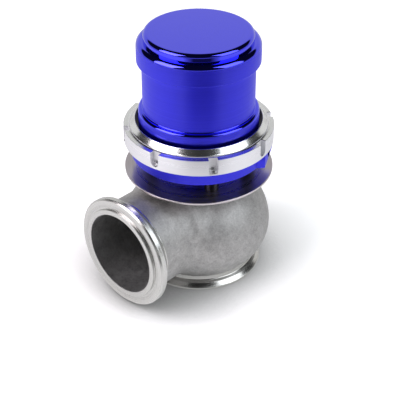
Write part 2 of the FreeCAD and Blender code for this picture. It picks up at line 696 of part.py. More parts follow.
# Lower housing: a cup with the ring's thread outside, the seal's hub below and two ports
def make_lower_housing():
    hub_level = "(housing_level - hub_depth)"
    clip_wall = "(seal_radius + circlip_groove)"
    body = turned(
        "lower_housing",
        [
            ("stem_hole_radius", hub_level),
            ("hub_radius", hub_level),
            ("hub_radius", "housing_level"),
            ("housing_radius", "housing_level"),
            ("housing_radius", "housing_level + housing_skirt"),
            ("housing_thread_radius", "housing_level + housing_skirt"),
            ("housing_thread_radius", "housing_top"),
            ("housing_bore_radius", "housing_top"),
            ("housing_bore_radius", "floor_top"),
            ("seal_radius", "floor_top"),
            ("seal_radius", "circlip_level + circlip_height"),
            (clip_wall, "circlip_level + circlip_height"),
            (clip_wall, "circlip_level"),
            ("seal_radius", "circlip_level"),
            ("seal_radius", "seal_level"),
            ("stem_hole_radius", "seal_level"),
        ],
    )
    # The sketch of a port is turned so that its own X axis runs out along the port
    turn = "port_angle - 90"
    half = "port_boss_width / 2"
    root = "sqrt(housing_radius * housing_radius - port_boss_width * port_boss_width / 4)"
    boss = outline(
        sketch_on(body, "XY_Plane", "port_boss_outline", "housing_level", turn),
        [
            ("housing_bore_radius + port_drill_radius", f"-{half} / 2"),
            (f"{root} - port_root_radius / 2", f"-{half} - port_root_radius", "port_root_radius", "right"),
            ("port_boss_reach", f"-{half}"),
            ("port_boss_reach", half, "port_root_radius", "right"),
            (f"{root} - port_root_radius / 2", f"{half} + port_root_radius"),
            ("housing_bore_radius + port_drill_radius", f"{half} / 2"),
        ],
    )
    pad = extrude(body, "port_boss", boss, "housing_skirt")
    threaded = outline(
        sketch_on(body, "XY_Plane", "port_outline", "port_level", turn),
        [
            ("housing_bore_radius / 2", "0"),
            ("port_boss_reach + port_radius", "0"),
            ("port_boss_reach + port_radius", "port_radius"),
            ("port_boss_reach - port_depth", "port_radius"),
            ("port_boss_reach - port_depth", "port_drill_radius"),
            ("housing_bore_radius / 2", "port_drill_radius"),
        ],
    )
    port = revolve(body, "port", threaded, cut=True, axis="H_Axis")
    mirror_across(body, "other_port", [pad, port], "YZ_Plane")
    for name, level, radius, centres, depth in (
        ("head_sinks", "floor_top", "bolt_head_radius + bolt_hole_gap", bolt_places(), "bolt_sink"),
        ("bolt_holes", "floor_top", "bolt_radius + bolt_hole_gap", bolt_places(), "floor_thickness"),
        ("dowel_hole", "housing_top", "dowel_radius + fit_gap", [("0", "dowel_circle")], "dowel_depth"),
    ):
        drill(body, name, level, radius, centres, depth)
    return body


# Diaphragm: clamped bead, rolling wall and a middle between the two plates
def make_diaphragm():
    bead = "(housing_thread_radius - bead_inset)"
    wall_top = "(housing_bore_radius - bead_inset)"
    fold = "(plate_radius + 1)"
    body = turned(
        "diaphragm",
        [
            ("stem_thread_radius + fit_gap", "diaphragm_level"),
            (fold, "diaphragm_level"),
            (wall_top, "housing_top - diaphragm_thickness"),
            ("housing_bore_radius", "housing_top"),
            (bead, "housing_top"),
            (bead, "can_level"),
            (f"{wall_top} - diaphragm_thickness", "can_level"),
            (f"{wall_top} - diaphragm_thickness", "can_level - diaphragm_thickness"),
            (f"{fold} - diaphragm_thickness", "piston_level"),
            ("stem_thread_radius + fit_gap", "piston_level"),
        ],
    )
    radius, place = "dowel_radius + bolt_hole_gap", [("0", "dowel_circle")]
    drill(body, "dowel_passage", "housing_top", radius, place, "bead_height", upward=True)
    return body


def make_diaphragm_plate():
    hole = "stem_thread_radius + fit_gap"
    body = tube("diaphragm_plate", hole, "plate_radius", "plate_level", "plate_thickness")
    bevel(body, "plate_edge", body.Tip, [("plate_radius", "plate_level")], "plate_thickness / 3")
    return body


def make_spring_piston():
    wall = "(piston_radius - piston_rim)"
    return turned(
        "spring_piston",
        [
            ("stem_thread_radius + fit_gap", "piston_level"),
            (wall, "piston_level"),
            ("piston_radius", "piston_level + piston_rim"),
            ("piston_radius", "piston_level + piston_rim_height"),
            (wall, "piston_level + piston_rim_height"),
            (wall, "spring_level"),
            ("piston_hub_radius", "spring_level"),
            ("piston_hub_radius", "washer_level"),
            ("stem_thread_radius + fit_gap", "washer_level"),
        ],
    )


def make_stem_washer():
    hole = "stem_thread_radius + fit_gap"
    return tube("stem_washer", hole, "washer_radius", "washer_level", "washer_thickness")


def make_stem_nut():
    flats = doc.addObject("Part::Prism", "nut_flats")
    flats.Polygon = 6
    bind(flats, Circumradius="nut_width / sqrt(3)", Height="nut_height")
    hole = doc.addObject("Part::Cylinder", "nut_hole")
    bind(hole, Radius="stem_thread_radius + fit_gap", Height="nut_height")
    nut = doc.addObject("Part::Cut", "stem_nut")
    nut.Base, nut.Tool = flats, hole
    nut.Label = "stem_nut"
    nut.setExpression("Placement.Base.z", bound("nut_level"))
    return nut


# Compression spring: six-sided wire on a helix, its ends ground flat on the piston and the ceiling
def make_spring(label, mean_radius, wire, turns):
    body = new_body(label)
    flat_to_flat = f"{wire} / 2"
    corner = f"{wire} / sqrt(3)"
    level = f"(spring_level + {wire} / 4)"
    height = f"(ceiling_level - spring_level - {wire} / 2)"
    profile = outline(
        sketch_on(body, "XZ_Plane", label + "_wire"),
        [
            (f"{mean_radius} + {flat_to_flat}", f"{level} - {corner} / 2"),
            (f"{mean_radius} + {flat_to_flat}", f"{level} + {corner} / 2"),
            (mean_radius, f"{level} + {corner}"),
            (f"{mean_radius} - {flat_to_flat}", f"{level} + {corner} / 2"),
            (f"{mean_radius} - {flat_to_flat}", f"{level} - {corner} / 2"),
            (mean_radius, f"{level} - {corner}"),
        ],
    )
    coil = body.newObject("PartDesign::AdditiveHelix", label + "_coil")
    coil.Profile = profile
    coil.ReferenceAxis = (profile, ["V_Axis"])
    coil.Mode = 0
    coil.Angle = 0
    bind(coil, Height=height, Pitch=f"{height} / {turns}")
    doc.recompute()
    reach = f"{mean_radius} + {wire}"
    for end, low, high in (
        ("lower", f"spring_level - {wire}", "spring_level"),
        ("upper", "ceiling_level", f"ceiling_level + {wire}"),
    ):
        ground = outline(
            sketch_on(body, "XZ_Plane", f"{label}_{end}_end"),
            [("0", low), (reach, low), (reach, high), ("0", high)],
        )
        revolve(body, f"{label}_{end}_ground", ground, cut=True)
    return body


# Top can: clamped flange, foot, cylinder, head band and raised disc, all one turning
def make_top_can():
    foot_side = "(can_level + foot_top - (foot_radius - can_radius))"
    ogee = "(foot_radius - can_radius - foot_round)"
    rim_top = "(can_height - cap_height)"
    body = turned(
        "top_can",
        [
            ("can_bore_radius", "can_level + can_mouth"),
            ("can_bore_radius + can_mouth", "can_level"),
            ("can_flange_radius", "can_level"),
            ("can_flange_radius", "slip_level"),
            ("foot_radius", "slip_level"),
            ("foot_radius", foot_side, "foot_round", "left"),
            ("foot_radius - foot_round", f"{foot_side} + foot_round", ogee, "right"),
            ("can_radius", f"{foot_side} + foot_round + {ogee}"),
            ("can_radius", "rim_level"),
            ("rim_radius", "rim_level"),
            ("rim_radius", f"{rim_top} - rim_round", "rim_round", "left"),
            ("rim_radius - rim_round", rim_top),
            ("cap_radius", rim_top),
            ("cap_radius", "can_height - cap_round", "cap_round", "left"),
            ("cap_radius - cap_round", "can_height"),
            ("0", "can_height"),
            ("0", "ceiling_level"),
            ("can_bore_radius - can_corner", "ceiling_level"),
            ("can_bore_radius", "ceiling_level - can_corner"),
        ],
    )
    port = outline(
        sketch_on(body, "XY_Plane", "upper_port_outline", "upper_port_level", "90"),
        [
            ("can_bore_radius / 2", "0"),
            ("rim_radius + port_radius", "0"),
            ("rim_radius + port_radius", "upper_port_flat_radius"),
            ("upper_port_flat", "upper_port_flat_radius"),
            ("upper_port_flat", "port_radius"),
            ("can_bore_radius / 2", "port_radius"),
        ],
    )
    revolve(body, "upper_port", port, cut=True, axis="H_Axis")
    place, depth = [("0", "dowel_circle")], "can_flange - dowel_radius / 2"
    drill(body, "dowel_socket", "can_level", "dowel_radius + running_gap", place, depth, upward=True)
    return body


def make_slip_washer():
    return tube("slip_washer", "foot_radius + thread_gap", "can_flange_radius", "slip_level", "slip_washer")


# Lock ring: a slotted band that screws on the housing and pulls the can's flange down
def make_lock_ring():
    body = turned(
        "lock_ring",
        [
            ("housing_thread_radius + thread_gap", "ring_level"),
            ("ring_radius - ring_edge", "ring_level"),
            ("ring_radius", "ring_level + ring_edge"),
            ("ring_radius", "ring_top - ring_edge"),
            ("ring_radius - ring_edge", "ring_top"),
            ("lip_foot_radius", "ring_top", "lip_arc", "left"),
            ("lip_radius + lip_edge", "ring_top + lip_height"),
            ("lip_radius", "ring_top + lip_height"),
            ("lip_radius", "shoulder_level + shoulder_height"),
            ("foot_radius + shoulder_gap", "shoulder_level + shoulder_height"),
            ("foot_radius + shoulder_gap", "shoulder_level"),
            ("housing_thread_radius + thread_gap", "shoulder_level"),
        ],
    )
    half = "slot_width / 2"
    round_level = f"ring_top - slot_length + {half}"
    slot = outline(
        sketch_on(body, "XZ_Plane", "slot_outline", "ring_radius - slot_depth"),
        [
            (half, round_level),
            (half, "ring_top + lip_height"),
            (f"-{half}", "ring_top + lip_height"),
            (f"-{half}", round_level, half, "left"),
            ("0", "ring_top - slot_length", half, "left"),
        ],
    )
    first = extrude(body, "slot", slot, "slot_depth * 2", cut=True, reverse=True)
    repeat_round(body, "slots", first, "slot_count")
    body.Placement = FreeCAD.Placement(FreeCAD.Vector(), FreeCAD.Rotation(FreeCAD.Vector(0, 0, 1), 1))
    body.setExpression("Placement.Rotation.Angle", bound("ring_turn"))
    return body


def make_locating_pin():
    pin = doc.addObject("Part::Cylinder", "locating_pin")
    pin.Label = "locating_pin"
    bind(pin, Radius="dowel_radius", Height="dowel_depth + dowel_height")
    pin.setExpression("Placement.Base.y", bound("dowel_circle"))
    pin.setExpression("Placement.Base.z", bound("housing_top - dowel_depth"))
    return pin


parts = [
    make_valve_body(),
    make_valve_seat(),
    make_valve(),
    make_valve_guide(),
    make_stem_seal(),
    make_seal_circlip(),
    drilled_disc("body_gasket", "shield_hole_radius", "deck_radius", "deck_level", "gasket_thickness"),
    make_heat_shield(),
    make_shield_spacers(),
    make_housing_bolts(),
    make_lower_housing(),
    make_diaphragm(),
    make_diaphragm_plate(),
    make_spring_piston(),
    make_stem_washer(),
    make_stem_nut(),
    make_spring("outer_spring", "outer_spring_radius", "outer_wire", "outer_turns"),
    make_spring("inner_spring", "inner_spring_radius", "inner_wire", "inner_turns"),
    make_top_can(),
    make_slip_washer(),
    make_lock_ring(),
    make_locating_pin(),
]
doc.recompute()

for item in doc.Objects:
    if "Invalid" in item.State or "Error" in item.State:
        raise RuntimeError(f"{item.Label} did not compute: {item.State}")
for part in parts:
    if part.Shape.isNull() or not part.Shape.isValid():
        raise RuntimeError(f"{part.Label} has no valid shape")

os.makedirs("parts", exist_ok=True)
for part in parts:
    part.Shape.exportStep(f"parts/{part.Label}.step")
    box = part.Shape.optimalBoundingBox()
    print(
        f"{part.Label}: {len(part.Shape.Solids)} solid(s), {part.Shape.Volume / 1000:.2f} cm3,"
        f" z {box.ZMin:.1f} to {box.ZMax:.1f}"
    )
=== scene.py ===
import math

import bpy
from mathutils import Matrix, Vector


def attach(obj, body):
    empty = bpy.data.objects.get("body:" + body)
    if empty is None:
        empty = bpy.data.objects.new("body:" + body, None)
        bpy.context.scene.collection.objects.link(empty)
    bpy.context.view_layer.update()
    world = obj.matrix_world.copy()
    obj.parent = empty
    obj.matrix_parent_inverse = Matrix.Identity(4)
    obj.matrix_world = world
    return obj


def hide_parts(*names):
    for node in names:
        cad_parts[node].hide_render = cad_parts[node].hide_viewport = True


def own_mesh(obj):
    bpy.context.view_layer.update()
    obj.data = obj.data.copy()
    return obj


# External wastegate, dressed for its portrait: blue can, polished lock ring, grey cast body.
# Sizes are in millimetres here and become metres where a mesh is made.
mm = 0.001
crispAngle = math.radians(35)  # edges sharper than this stay sharp
outletLevel = 42.2  # the outlet's axis above the inlet's face

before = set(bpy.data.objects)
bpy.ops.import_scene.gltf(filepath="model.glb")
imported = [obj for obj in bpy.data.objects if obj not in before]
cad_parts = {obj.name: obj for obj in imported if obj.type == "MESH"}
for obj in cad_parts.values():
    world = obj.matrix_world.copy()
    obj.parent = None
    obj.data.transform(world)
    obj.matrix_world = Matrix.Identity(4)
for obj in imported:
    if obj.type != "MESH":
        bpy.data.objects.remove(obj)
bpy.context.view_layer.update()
print("frame loaded,", len(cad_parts), "nodes")


# Outlines and turned pieces

def deselectAll():
    if bpy.context.mode != "OBJECT":
        bpy.ops.object.mode_set(mode="OBJECT")
    bpy.ops.object.select_all(action="DESELECT")


def activate(piece):
    deselectAll()
    piece.select_set(True)
    bpy.context.view_layer.objects.active = piece


# Points of the arc that rounds one corner of an outline
def roundCorner(before, corner, after, radius):
    stepAngle = 9  # degrees from point to point
    here = Vector(corner)
    back = (Vector(before) - here).normalized()
    ahead = (Vector(after) - here).normalized()
    half = back.angle(ahead) / 2
    centre = here + (back + ahead).normalized() * radius / math.sin(half)
    first = here + back * radius / math.tan(half) - centre
    last = here + ahead * radius / math.tan(half) - centre
    turn = math.atan2(first.x * last.y - first.y * last.x, first.dot(last))
    steps = max(2, round(abs(math.degrees(turn)) / stepAngle))
    return [centre + Matrix.Rotation(turn * step / steps, 2) @ first for step in range(steps + 1)]


# Points of an arc between two points; bulge is 1 where it bulges to the right of the way, else -1
def arcThrough(start, end, radius, bulge, steps):
    a, b = Vector(start), Vector(end)
    chord = b - a
    side = Vector((chord.y, -chord.x)).normalized() * bulge
    centre = (a + b) / 2 - side * math.sqrt(radius**2 - (chord.length / 2) ** 2)
    first, last = a - centre, b - centre
    turn = math.atan2(first.x * last.y - first.y * last.x, first.dot(last))
    return [tuple(centre + Matrix.Rotation(turn * step / steps, 2) @ first) for step in range(steps + 1)]


# Rounds the corners given as (radius, level, round) and adds rings that hold flat stretches flat
def finishOutline(points, closed):
    count = len(points)
    rounded = []
    for index, point in enumerate(points):
        hasNeighbours = closed or 0 < index < count - 1
        if len(point) == 3 and hasNeighbours:
            before, after = points[index - 1][:2], points[(index + 1) % count][:2]
            rounded += roundCorner(before, point[:2], after, point[2])
        else:
            rounded.append(Vector(point[:2]))
    holdLength, holdGap = 1.5, 0.25  # millimetres: what counts as a flat stretch, and where its rings go
    held = []
    for index, here in enumerate(rounded):
        held.append(here)
        if index == len(rounded) - 1 and not closed:
            break
        way = rounded[(index + 1) % len(rounded)] - here
        if way.length > holdLength:
            held.append(here + way.normalized() * holdGap)
            held.append(here + way - way.normalized() * holdGap)
    return held


# Turns an outline of (radius, level) points round Z: a ring that is extruded and scaled along it
def turnPiece(name, points, closed=True, segments=192):
    outline = finishOutline(points, closed)
    deselectAll()
    start = outline[0]
    bpy.ops.mesh.primitive_circle_add(
        vertices=segments, radius=start.x * mm, location=(0, 0, start.y * mm), fill_type="NOTHING"
    )
    piece = bpy.context.object
    piece.name = piece.data.name = name
    bpy.ops.object.mode_set(mode="EDIT")
    bpy.ops.mesh.select_all(action="SELECT")
    for here, there in zip(outline, outline[1:]):
        rise = (0, 0, (there.y - here.y) * mm)
        bpy.ops.mesh.extrude_edges_move(TRANSFORM_OT_translate={"value": rise})
        scale = there.x / here.x
        bpy.ops.transform.resize(value=(scale, scale, 1), center_override=(0, 0, 0))
    bpy.ops.mesh.select_all(action="DESELECT")
    bpy.ops.mesh.select_non_manifold()
    if closed:
        bpy.ops.mesh.bridge_edge_loops()
    else:
        bpy.ops.mesh.fill_holes(sides=0)
    recalculate()
    bpy.ops.object.transform_apply(location=True, rotation=False, scale=False)
    return piece


# A ring or tube with broken outer edges
def turnTube(name, inside, outside, bottom, top, edge, segments):
    outline = [(inside, bottom), (outside, bottom, edge), (outside, top, edge), (inside, top)]
    return turnPiece(name, outline, segments=segments)


# Points the active piece's faces outwards and leaves edit mode
def recalculate():
    bpy.ops.mesh.select_all(action="SELECT")
    bpy.ops.mesh.normals_make_consistent(inside=False)
    bpy.ops.object.mode_set(mode="OBJECT")


# Cuts the mesh that is open for editing at a level and keeps what is below it, or above where side is -1
def trimAt(level, side):
    bpy.ops.mesh.select_all(action="SELECT")
    bpy.ops.mesh.bisect(
        plane_co=(0, 0, level * mm), plane_no=(0, 0, side), use_fill=True, clear_outer=True
    )


# Turns (degrees) and moves (millimetres) a piece, and keeps that in its mesh
def place(piece, location=(0, 0, 0), turn=(0, 0, 0)):
    activate(piece)
    piece.rotation_euler = [math.radians(angle) for angle in turn]
    piece.location = [value * mm for value in location]
    bpy.ops.object.transform_apply(location=True, rotation=True, scale=True)
    return piece


# A copy with its own mesh
def copyPiece(piece, name):
    twin = piece.copy()
    twin.data = piece.data.copy()
    twin.name = twin.data.name = name
    bpy.context.collection.objects.link(twin)
    return twin


# A Boolean with another mesh, applied, which uses that mesh up
def combine(piece, tool, operation):
    activate(piece)
    modifier = piece.modifiers.new("combine", "BOOLEAN")
    modifier.object = tool
    modifier.operation = operation
    modifier.solver = "EXACT"
    bpy.ops.object.modifier_apply(modifier="combine")
    bpy.data.objects.remove(tool, do_unlink=True)


def joinAll(pieces, name):
    deselectAll()
    for piece in pieces:
        piece.select_set(True)
    bpy.context.view_layer.objects.active = pieces[0]
    if len(pieces) > 1:
        bpy.ops.object.join()
    pieces[0].name = pieces[0].data.name = name
    return pieces[0]


# Copies of a piece at several angles round the stem's axis, joined into one mesh
def aroundZ(piece, angles, name):
    copies = []
    for number, angle in enumerate(angles):
        copies.append(place(copyPiece(piece, f"{name}{number}"), turn=(0, 0, angle)))
    bpy.data.objects.remove(piece, do_unlink=True)
    return joinAll(copies, name)


# A plain round cutter, standing
def plug(radius, bottom, top, centre=(0, 0), segments=64):
    deselectAll()
    bpy.ops.mesh.primitive_cylinder_add(
        vertices=segments,
        radius=radius * mm,
        depth=(top - bottom) * mm,
        location=(centre[0] * mm, centre[1] * mm, (top + bottom) / 2 * mm),
    )
    cutter = bpy.context.object
    bpy.ops.object.transform_apply(location=True, rotation=True, scale=True)
    return cutter


# A small bevel on every edge sharper than the angle
def bevelEdges(piece, width, angle):
    activate(piece)
    modifier = piece.modifiers.new("edges", "BEVEL")
    modifier.width = width * mm
    modifier.segments = 2
    modifier.limit_method = "ANGLE"
    modifier.angle_limit = math.radians(angle)
    modifier.miter_outer = "MITER_ARC"
    bpy.ops.object.modifier_apply(modifier="edges")
    return piece


# Smooths a piece, gives it its materials, says what it rides on and hides the frame's node that it
# stands for. choose picks the number of a material from a face's centre and normal.
def dress(piece, body, node, materials, choose=None):
    activate(piece)
    bpy.ops.object.shade_smooth_by_angle(angle=crispAngle)
    piece.data.materials.clear()
    for material in materials:
        piece.data.materials.append(material)
    if choose:
        for face in piece.data.polygons:
            face.material_index = choose(face.center / mm, face.normal)
    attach(piece, body)
    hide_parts(node)


# Colours and shader nodes

# sRGB hex to the linear colour that a shader socket takes
def toLinear(hexColour):
    channels = [int(hexColour[i:i + 2], 16) / 255 for i in (1, 3, 5)]
    linear = [c / 12.92 if c <= 0.04045 else ((c + 0.055) / 1.055) ** 2.4 for c in channels]
    return (*linear, 1.0)


# A shader node with its settings; each input gets a value, or the socket that feeds it
def addNode(tree, kind, inputs=None, **settings):
    node = tree.nodes.new(kind)
    for name, value in settings.items():
        setattr(node, name, value)
    for socket, source in (inputs or {}).items():
        if isinstance(source, bpy.types.NodeSocket):
            tree.links.new(source, node.inputs[socket])
        else:
            node.inputs[socket].default_value = source
    return node


# One sum on two or three inputs, each a number or a socket
def compute(tree, operation, *inputs):
    return addNode(tree, "ShaderNodeMath", dict(enumerate(inputs)), operation=operation).outputs[0]


# A material with a Principled shader; returns it, its node tree and the shader
def startMaterial(name, colour, metallic, roughness, **more):
    material = bpy.data.materials.new(name)
    material.use_nodes = True
    tree = material.node_tree
    shader = tree.nodes["Principled BSDF"]
    shader.inputs["Base Color"].default_value = toLinear(colour)
    shader.inputs["Metallic"].default_value = metallic
    shader.inputs["Roughness"].default_value = roughness
    for socket, value in more.items():
        shader.inputs[socket.replace("_", " ")].default_value = value
    material.diffuse_color = toLinear(colour)
    return material, tree, shader


# Distance from the turning axis and level along it, as one vector in metres
def turnedSpace(tree, centre=(0, 0, 0), aboutY=False):
    coords = addNode(tree, "ShaderNodeTexCoord").outputs["Object"]
    middle = [value * mm for value in centre]
    moved = addNode(tree, "ShaderNodeVectorMath", {0: coords, 1: middle}, operation="SUBTRACT")
    parts = addNode(tree, "ShaderNodeSeparateXYZ", {0: moved.outputs[0]})
    across, along = ("Z", "Y") if aboutY else ("Y", "Z")
    flat = addNode(tree, "ShaderNodeCombineXYZ", {"X": parts.outputs["X"], "Y": parts.outputs[across]})
    radius = addNode(tree, "ShaderNodeVectorMath", {0: flat.outputs[0]}, operation="LENGTH")
    both = {"X": radius.outputs["Value"], "Y": parts.outputs[along]}
    return addNode(tree, "ShaderNodeCombineXYZ", both).outputs[0]


# A number stretched from one range to another; noise lies mostly between 0.3 and 0.7
def ramp(tree, source, low, high, fromLow=0.3, fromHigh=0.7):
    ranges = {"From Min": fromLow, "From Max": fromHigh, "To Min": low, "To Max": high}
    return addNode(tree, "ShaderNodeMapRange", {"Value": source, **ranges}).outputs["Result"]


def mixColours(tree, factor, first, second):
    inputs = {"Factor": factor, 6: toLinear(first), 7: toLinear(second)}
    return addNode(tree, "ShaderNodeMix", inputs, data_type="RGBA").outputs[2]


# Noise whose patches are about this many millimetres across
def noise(tree, space, size, detail=2.0, flat=False, roughness=0.5):
    inputs = {"Vector": space, "Scale": 1 / (size * mm), "Detail": detail, "Roughness": roughness}
    dimensions = "2D" if flat else "3D"
    return addNode(tree, "ShaderNodeTexNoise", inputs, noise_dimensions=dimensions).outputs[0]


# Relief of this many millimetres
def bump(tree, shader, height, depth, under=None):
    node = addNode(tree, "ShaderNodeBump", {"Strength": 1.0, "Distance": depth * mm, "Height": height})
    if under:
        tree.links.new(under, node.inputs["Normal"])
    tree.links.new(node.outputs["Normal"], shader.inputs["Normal"])
    return node.outputs["Normal"]


# Metal off a lathe: rings of tool marks, seen in colour, gloss and relief. line is their width and
# depth their relief, in millimetres; spread is how far the roughness wanders.
def turnedMetal(name, light, dark, roughness, spread, line, depth, anisotropy=0.0, centre=(0, 0, 0),
                aboutY=False, **more):
    material, tree, shader = startMaterial(name, light, 1.0, roughness, **more)
    space = turnedSpace(tree, centre, aboutY)
    lines = noise(tree, space, line, 3.0, flat=True)
    wide = noise(tree, space, line * 9, 1.0, flat=True)
    tree.links.new(mixColours(tree, ramp(tree, lines, 0, 1), dark, light), shader.inputs["Base Color"])
    tree.links.new(ramp(tree, wide, roughness - spread, roughness + spread), shader.inputs["Roughness"])
    bump(tree, shader, lines, depth)
    if anisotropy:
        shader.inputs["Anisotropic"].default_value = anisotropy
        tangent = addNode(tree, "ShaderNodeTangent", direction_type="RADIAL", axis="Y" if aboutY else "Z")
        tree.links.new(tangent.outputs[0], shader.inputs["Tangent"])
    return material


# Blasted investment casting: soft mottling over a fine grain. Grain and relief are in millimetres.
def castMetal(name, light, dark, roughness, grain, relief):
    material, tree, shader = startMaterial(name, light, 1.0, roughness)
    space = addNode(tree, "ShaderNodeTexCoord").outputs["Object"]
    cloud = noise(tree, space, grain * 20, 6.0, roughness=0.85)
    mottle = noise(tree, space, grain * 3.6, 4.0, roughness=0.75)
    fine = noise(tree, space, grain)
    both = compute(tree, "MULTIPLY_ADD", mottle, 0.9, cloud)
    shade = ramp(tree, both, 0, 1, 0.7, 1.22)
    tree.links.new(mixColours(tree, shade, dark, light), shader.inputs["Base Color"])
    spread = 0.08
    tree.links.new(ramp(tree, mottle, roughness - spread, roughness + spread), shader.inputs["Roughness"])
    deep = bump(tree, shader, mottle, relief * 2.5)
    bump(tree, shader, fine, relief, under=deep)
    return material


# Real tool marks are a few hundredths of a millimetre wide; each is drawn as coarse as it needs to show.
# Anodised aluminium, dyed blue: the dye tints every reflection, and the sealed oxide adds a clear gloss.
# Its rounds are polished to a mirror.
blueSizes = {"polish": 0.06, "satin": 0.42, "toolLine": 0.16}
bluePolished = turnedMetal(
    "anodisedPolished", "#3F3FF2", "#3B3BE8", blueSizes["polish"], 0.015, blueSizes["toolLine"], 0.0002,
    Coat_Weight=0.4, Coat_IOR=1.6, Coat_Roughness=0.04,
)
# The same on its walls, where fine turning draws reflections out into soft upright bands
blueTurned = turnedMetal(
    "anodisedTurned", "#3B39E9", "#3533DD", blueSizes["satin"], 0.04, blueSizes["toolLine"], 0.0004,
    anisotropy=0.9, Coat_Weight=0.25, Coat_IOR=1.6, Coat_Roughness=0.12,
)
# Polished aluminium: bright and neutral, with soft-edged reflections
ringPolished = turnedMetal("aluminiumPolished", "#EBECEB", "#E1E2E1", 0.2, 0.03, 0.2, 0.0003)
# Aluminium finished with a fine belt: pale satin with faint lines round the band
ringSatin = turnedMetal("aluminiumSatin", "#ECECF0", "#E0E0E4", 0.3, 0.04, 0.3, 0.0008, anisotropy=0.4)
# Aluminium as the end mill leaves it: dull and even, in the slots
ringCut = turnedMetal("aluminiumMilled", "#EDEDF0", "#DADADE", 0.55, 0.06, 0.25, 0.002)
# Stainless sheet, polished both sides: a slightly warm grey that mirrors what stands over it
shieldPolished = turnedMetal("stainlessSheet", "#D3CCCF", "#C7C0C3", 0.29, 0.03, 0.35, 0.0002)
# Stainless tube, painted near black as painted shade for the dark gap between the shield and the housing,
# with a thin light streak
spacerPaintedShade = turnedMetal("stainlessPaintedShade", "#3C3A40", "#2A292E", 0.4, 0.05, 0.3, 0.0015)
# Stainless as it comes off the lathe: warm grey, with reflections drawn across the tool marks
flangeTurned = turnedMetal(
    "stainlessTurned", "#D3D2CE", "#B4B3AF", 0.22, 0.05, 0.22, 0.0015, anisotropy=0.5
)
# The same, turned about the outlet's axis and a little duller
outletTurned = turnedMetal(
    "stainlessTurnedOutlet", "#D6D6D3", "#BDBDBA", 0.26, 0.05, 0.22, 0.0015, anisotropy=0.5,
    centre=(0, 0, outletLevel), aboutY=True,
)
# Cast stainless, blasted: matt light grey, cloudy over a fine grain
castOutside = castMetal("castStainless", "#CBCAC9", "#979695", 0.56, 0.3, 0.05)
# Its inside: coarser, and darker as painted shade for the hollow
castInsidePaintedShade = castMetal("castStainlessBorePaintedShade", "#B2B2B2", "#7E7E7E", 0.62, 0.45, 0.06)
# Bronze bush, turned: yellow brown, with fine lines
bronzeTurned = turnedMetal("bronzeTurned", "#C79A5C", "#A87A41", 0.3, 0.06, 0.25, 0.001)
# Blackened steel screws and nut: oily black with a low gloss
blackOxide = turnedMetal("blackOxideSteel", "#2A2A2C", "#1B1B1D", 0.42, 0.06, 0.3, 0.001)
# Drawn spring wire: mid grey, faintly mottled
wireSteel = castMetal("springWire", "#77777B", "#56565A", 0.34, 0.4, 0.004)
# Graphite on a steel core: dark, matt and finely speckled
gasketSheet = castMetal("graphiteGasket", "#6A6A68", "#4B4B4A", 0.6, 0.5, 0.01)
# Bare turned aluminium: light grey satin
plainTurned = turnedMetal("aluminiumTurned", "#CDCDD0", "#B5B5B9", 0.28, 0.05, 0.25, 0.001)


# Rubber or polymer: no metal, a fine moulded grain
def softMaterial(name, light, dark, roughness, grain, relief):
    material, tree, shader = startMaterial(name, light, 0.0, roughness)
    space = addNode(tree, "ShaderNodeTexCoord").outputs["Object"]
    patches = noise(tree, space, grain * 8, 3.0)
    fine = noise(tree, space, grain)
    tree.links.new(mixColours(tree, ramp(tree, patches, 0, 1), dark, light), shader.inputs["Base Color"])
    bump(tree, shader, fine, relief)
    return material


# Filled seal compound: matt black
sealRubber = softMaterial("sealCompound", "#1D1D1E", "#121213", 0.6, 0.3, 0.01)
# Slippery moulded polymer with a soft gloss, painted black: painted shade for the gap between the can's foot
# and the ring's lip, where it shows
slipPolymerPaintedShade = softMaterial("slipPolymerPaintedShade", "#222228", "#17171B", 0.38, 0.4, 0.005)


# Silicone over cloth: the weave shows through as a fine square pattern, its pitch in millimetres
def wovenRubber(name, light, dark, roughness, pitch, relief):
    material, tree, shader = startMaterial(name, light, 0.0, roughness)
    space = addNode(tree, "ShaderNodeTexCoord").outputs["Object"]
    waves = {"Vector": space, "Scale": math.pi / 10 / (pitch * mm), "Distortion": 0.4}
    heights = []
    for direction in ("X", "Y"):
        heights.append(addNode(tree, "ShaderNodeTexWave", waves, bands_direction=direction).outputs[1])
    weave = compute(tree, "MAXIMUM", *heights)
    tree.links.new(mixColours(tree, weave, dark, light), shader.inputs["Base Color"])
    bump(tree, shader, weave, relief)
    return material


diaphragmRubber = wovenRubber("reinforcedSilicone", "#B4502F", "#8E3820", 0.5, 0.9, 0.05)
print("materials made")


# Levels and bolts that the stack of pieces shares
deckLevel, shieldLevel, shieldTop, housingLevel, housingTop = 79.8, 80.3, 82.0, 93.7, 110.0
canLevel, slipLevel, shoulderLevel, ceiling, canTop = 112.0, 115.0, 115.8, 183.0, 188.5
boltCircle, boltAngles = 36.5, (-32, 32, 148, 212)  # from +X; 58 degrees either side of the outlet's line
boltHole = 3.3


# 0 polished, 1 the upright walls, which are satin apart from the disc's on top of the can
def blueFinish(centre, normal):
    return int(abs(normal.z) < 0.1 and centre.z < can["bandTop"] - 0.5)


# The four holes for the bolts, between two levels
def drillBolts(piece, bottom, top):
    holes = aroundZ(plug(boltHole, bottom, top, (boltCircle, 0), 32), boltAngles, "boltHoles")
    combine(piece, holes, "DIFFERENCE")


# Top can: one turning, with a mirror polish on its rounds and a finer satin on its walls
can = {
    "flange": 46.6, "foot": 43.4, "footTop": 129.9, "footRound": 2.2, "ogee": 0.95, "wall": 40.25,
    "bandFoot": 167.2, "band": 43.8, "bandTop": 182.5, "bandRound": 3.8, "disc": 38.8, "discRound": 2.7,
    "bore": 36.5, "corner": 2.5, "mouth": 4.5, "breakEdge": 0.35, "bandEdge": 0.35,
    "port": 4.3, "portLevel": 174, "spotFace": 43, "spotRadius": 7,
}


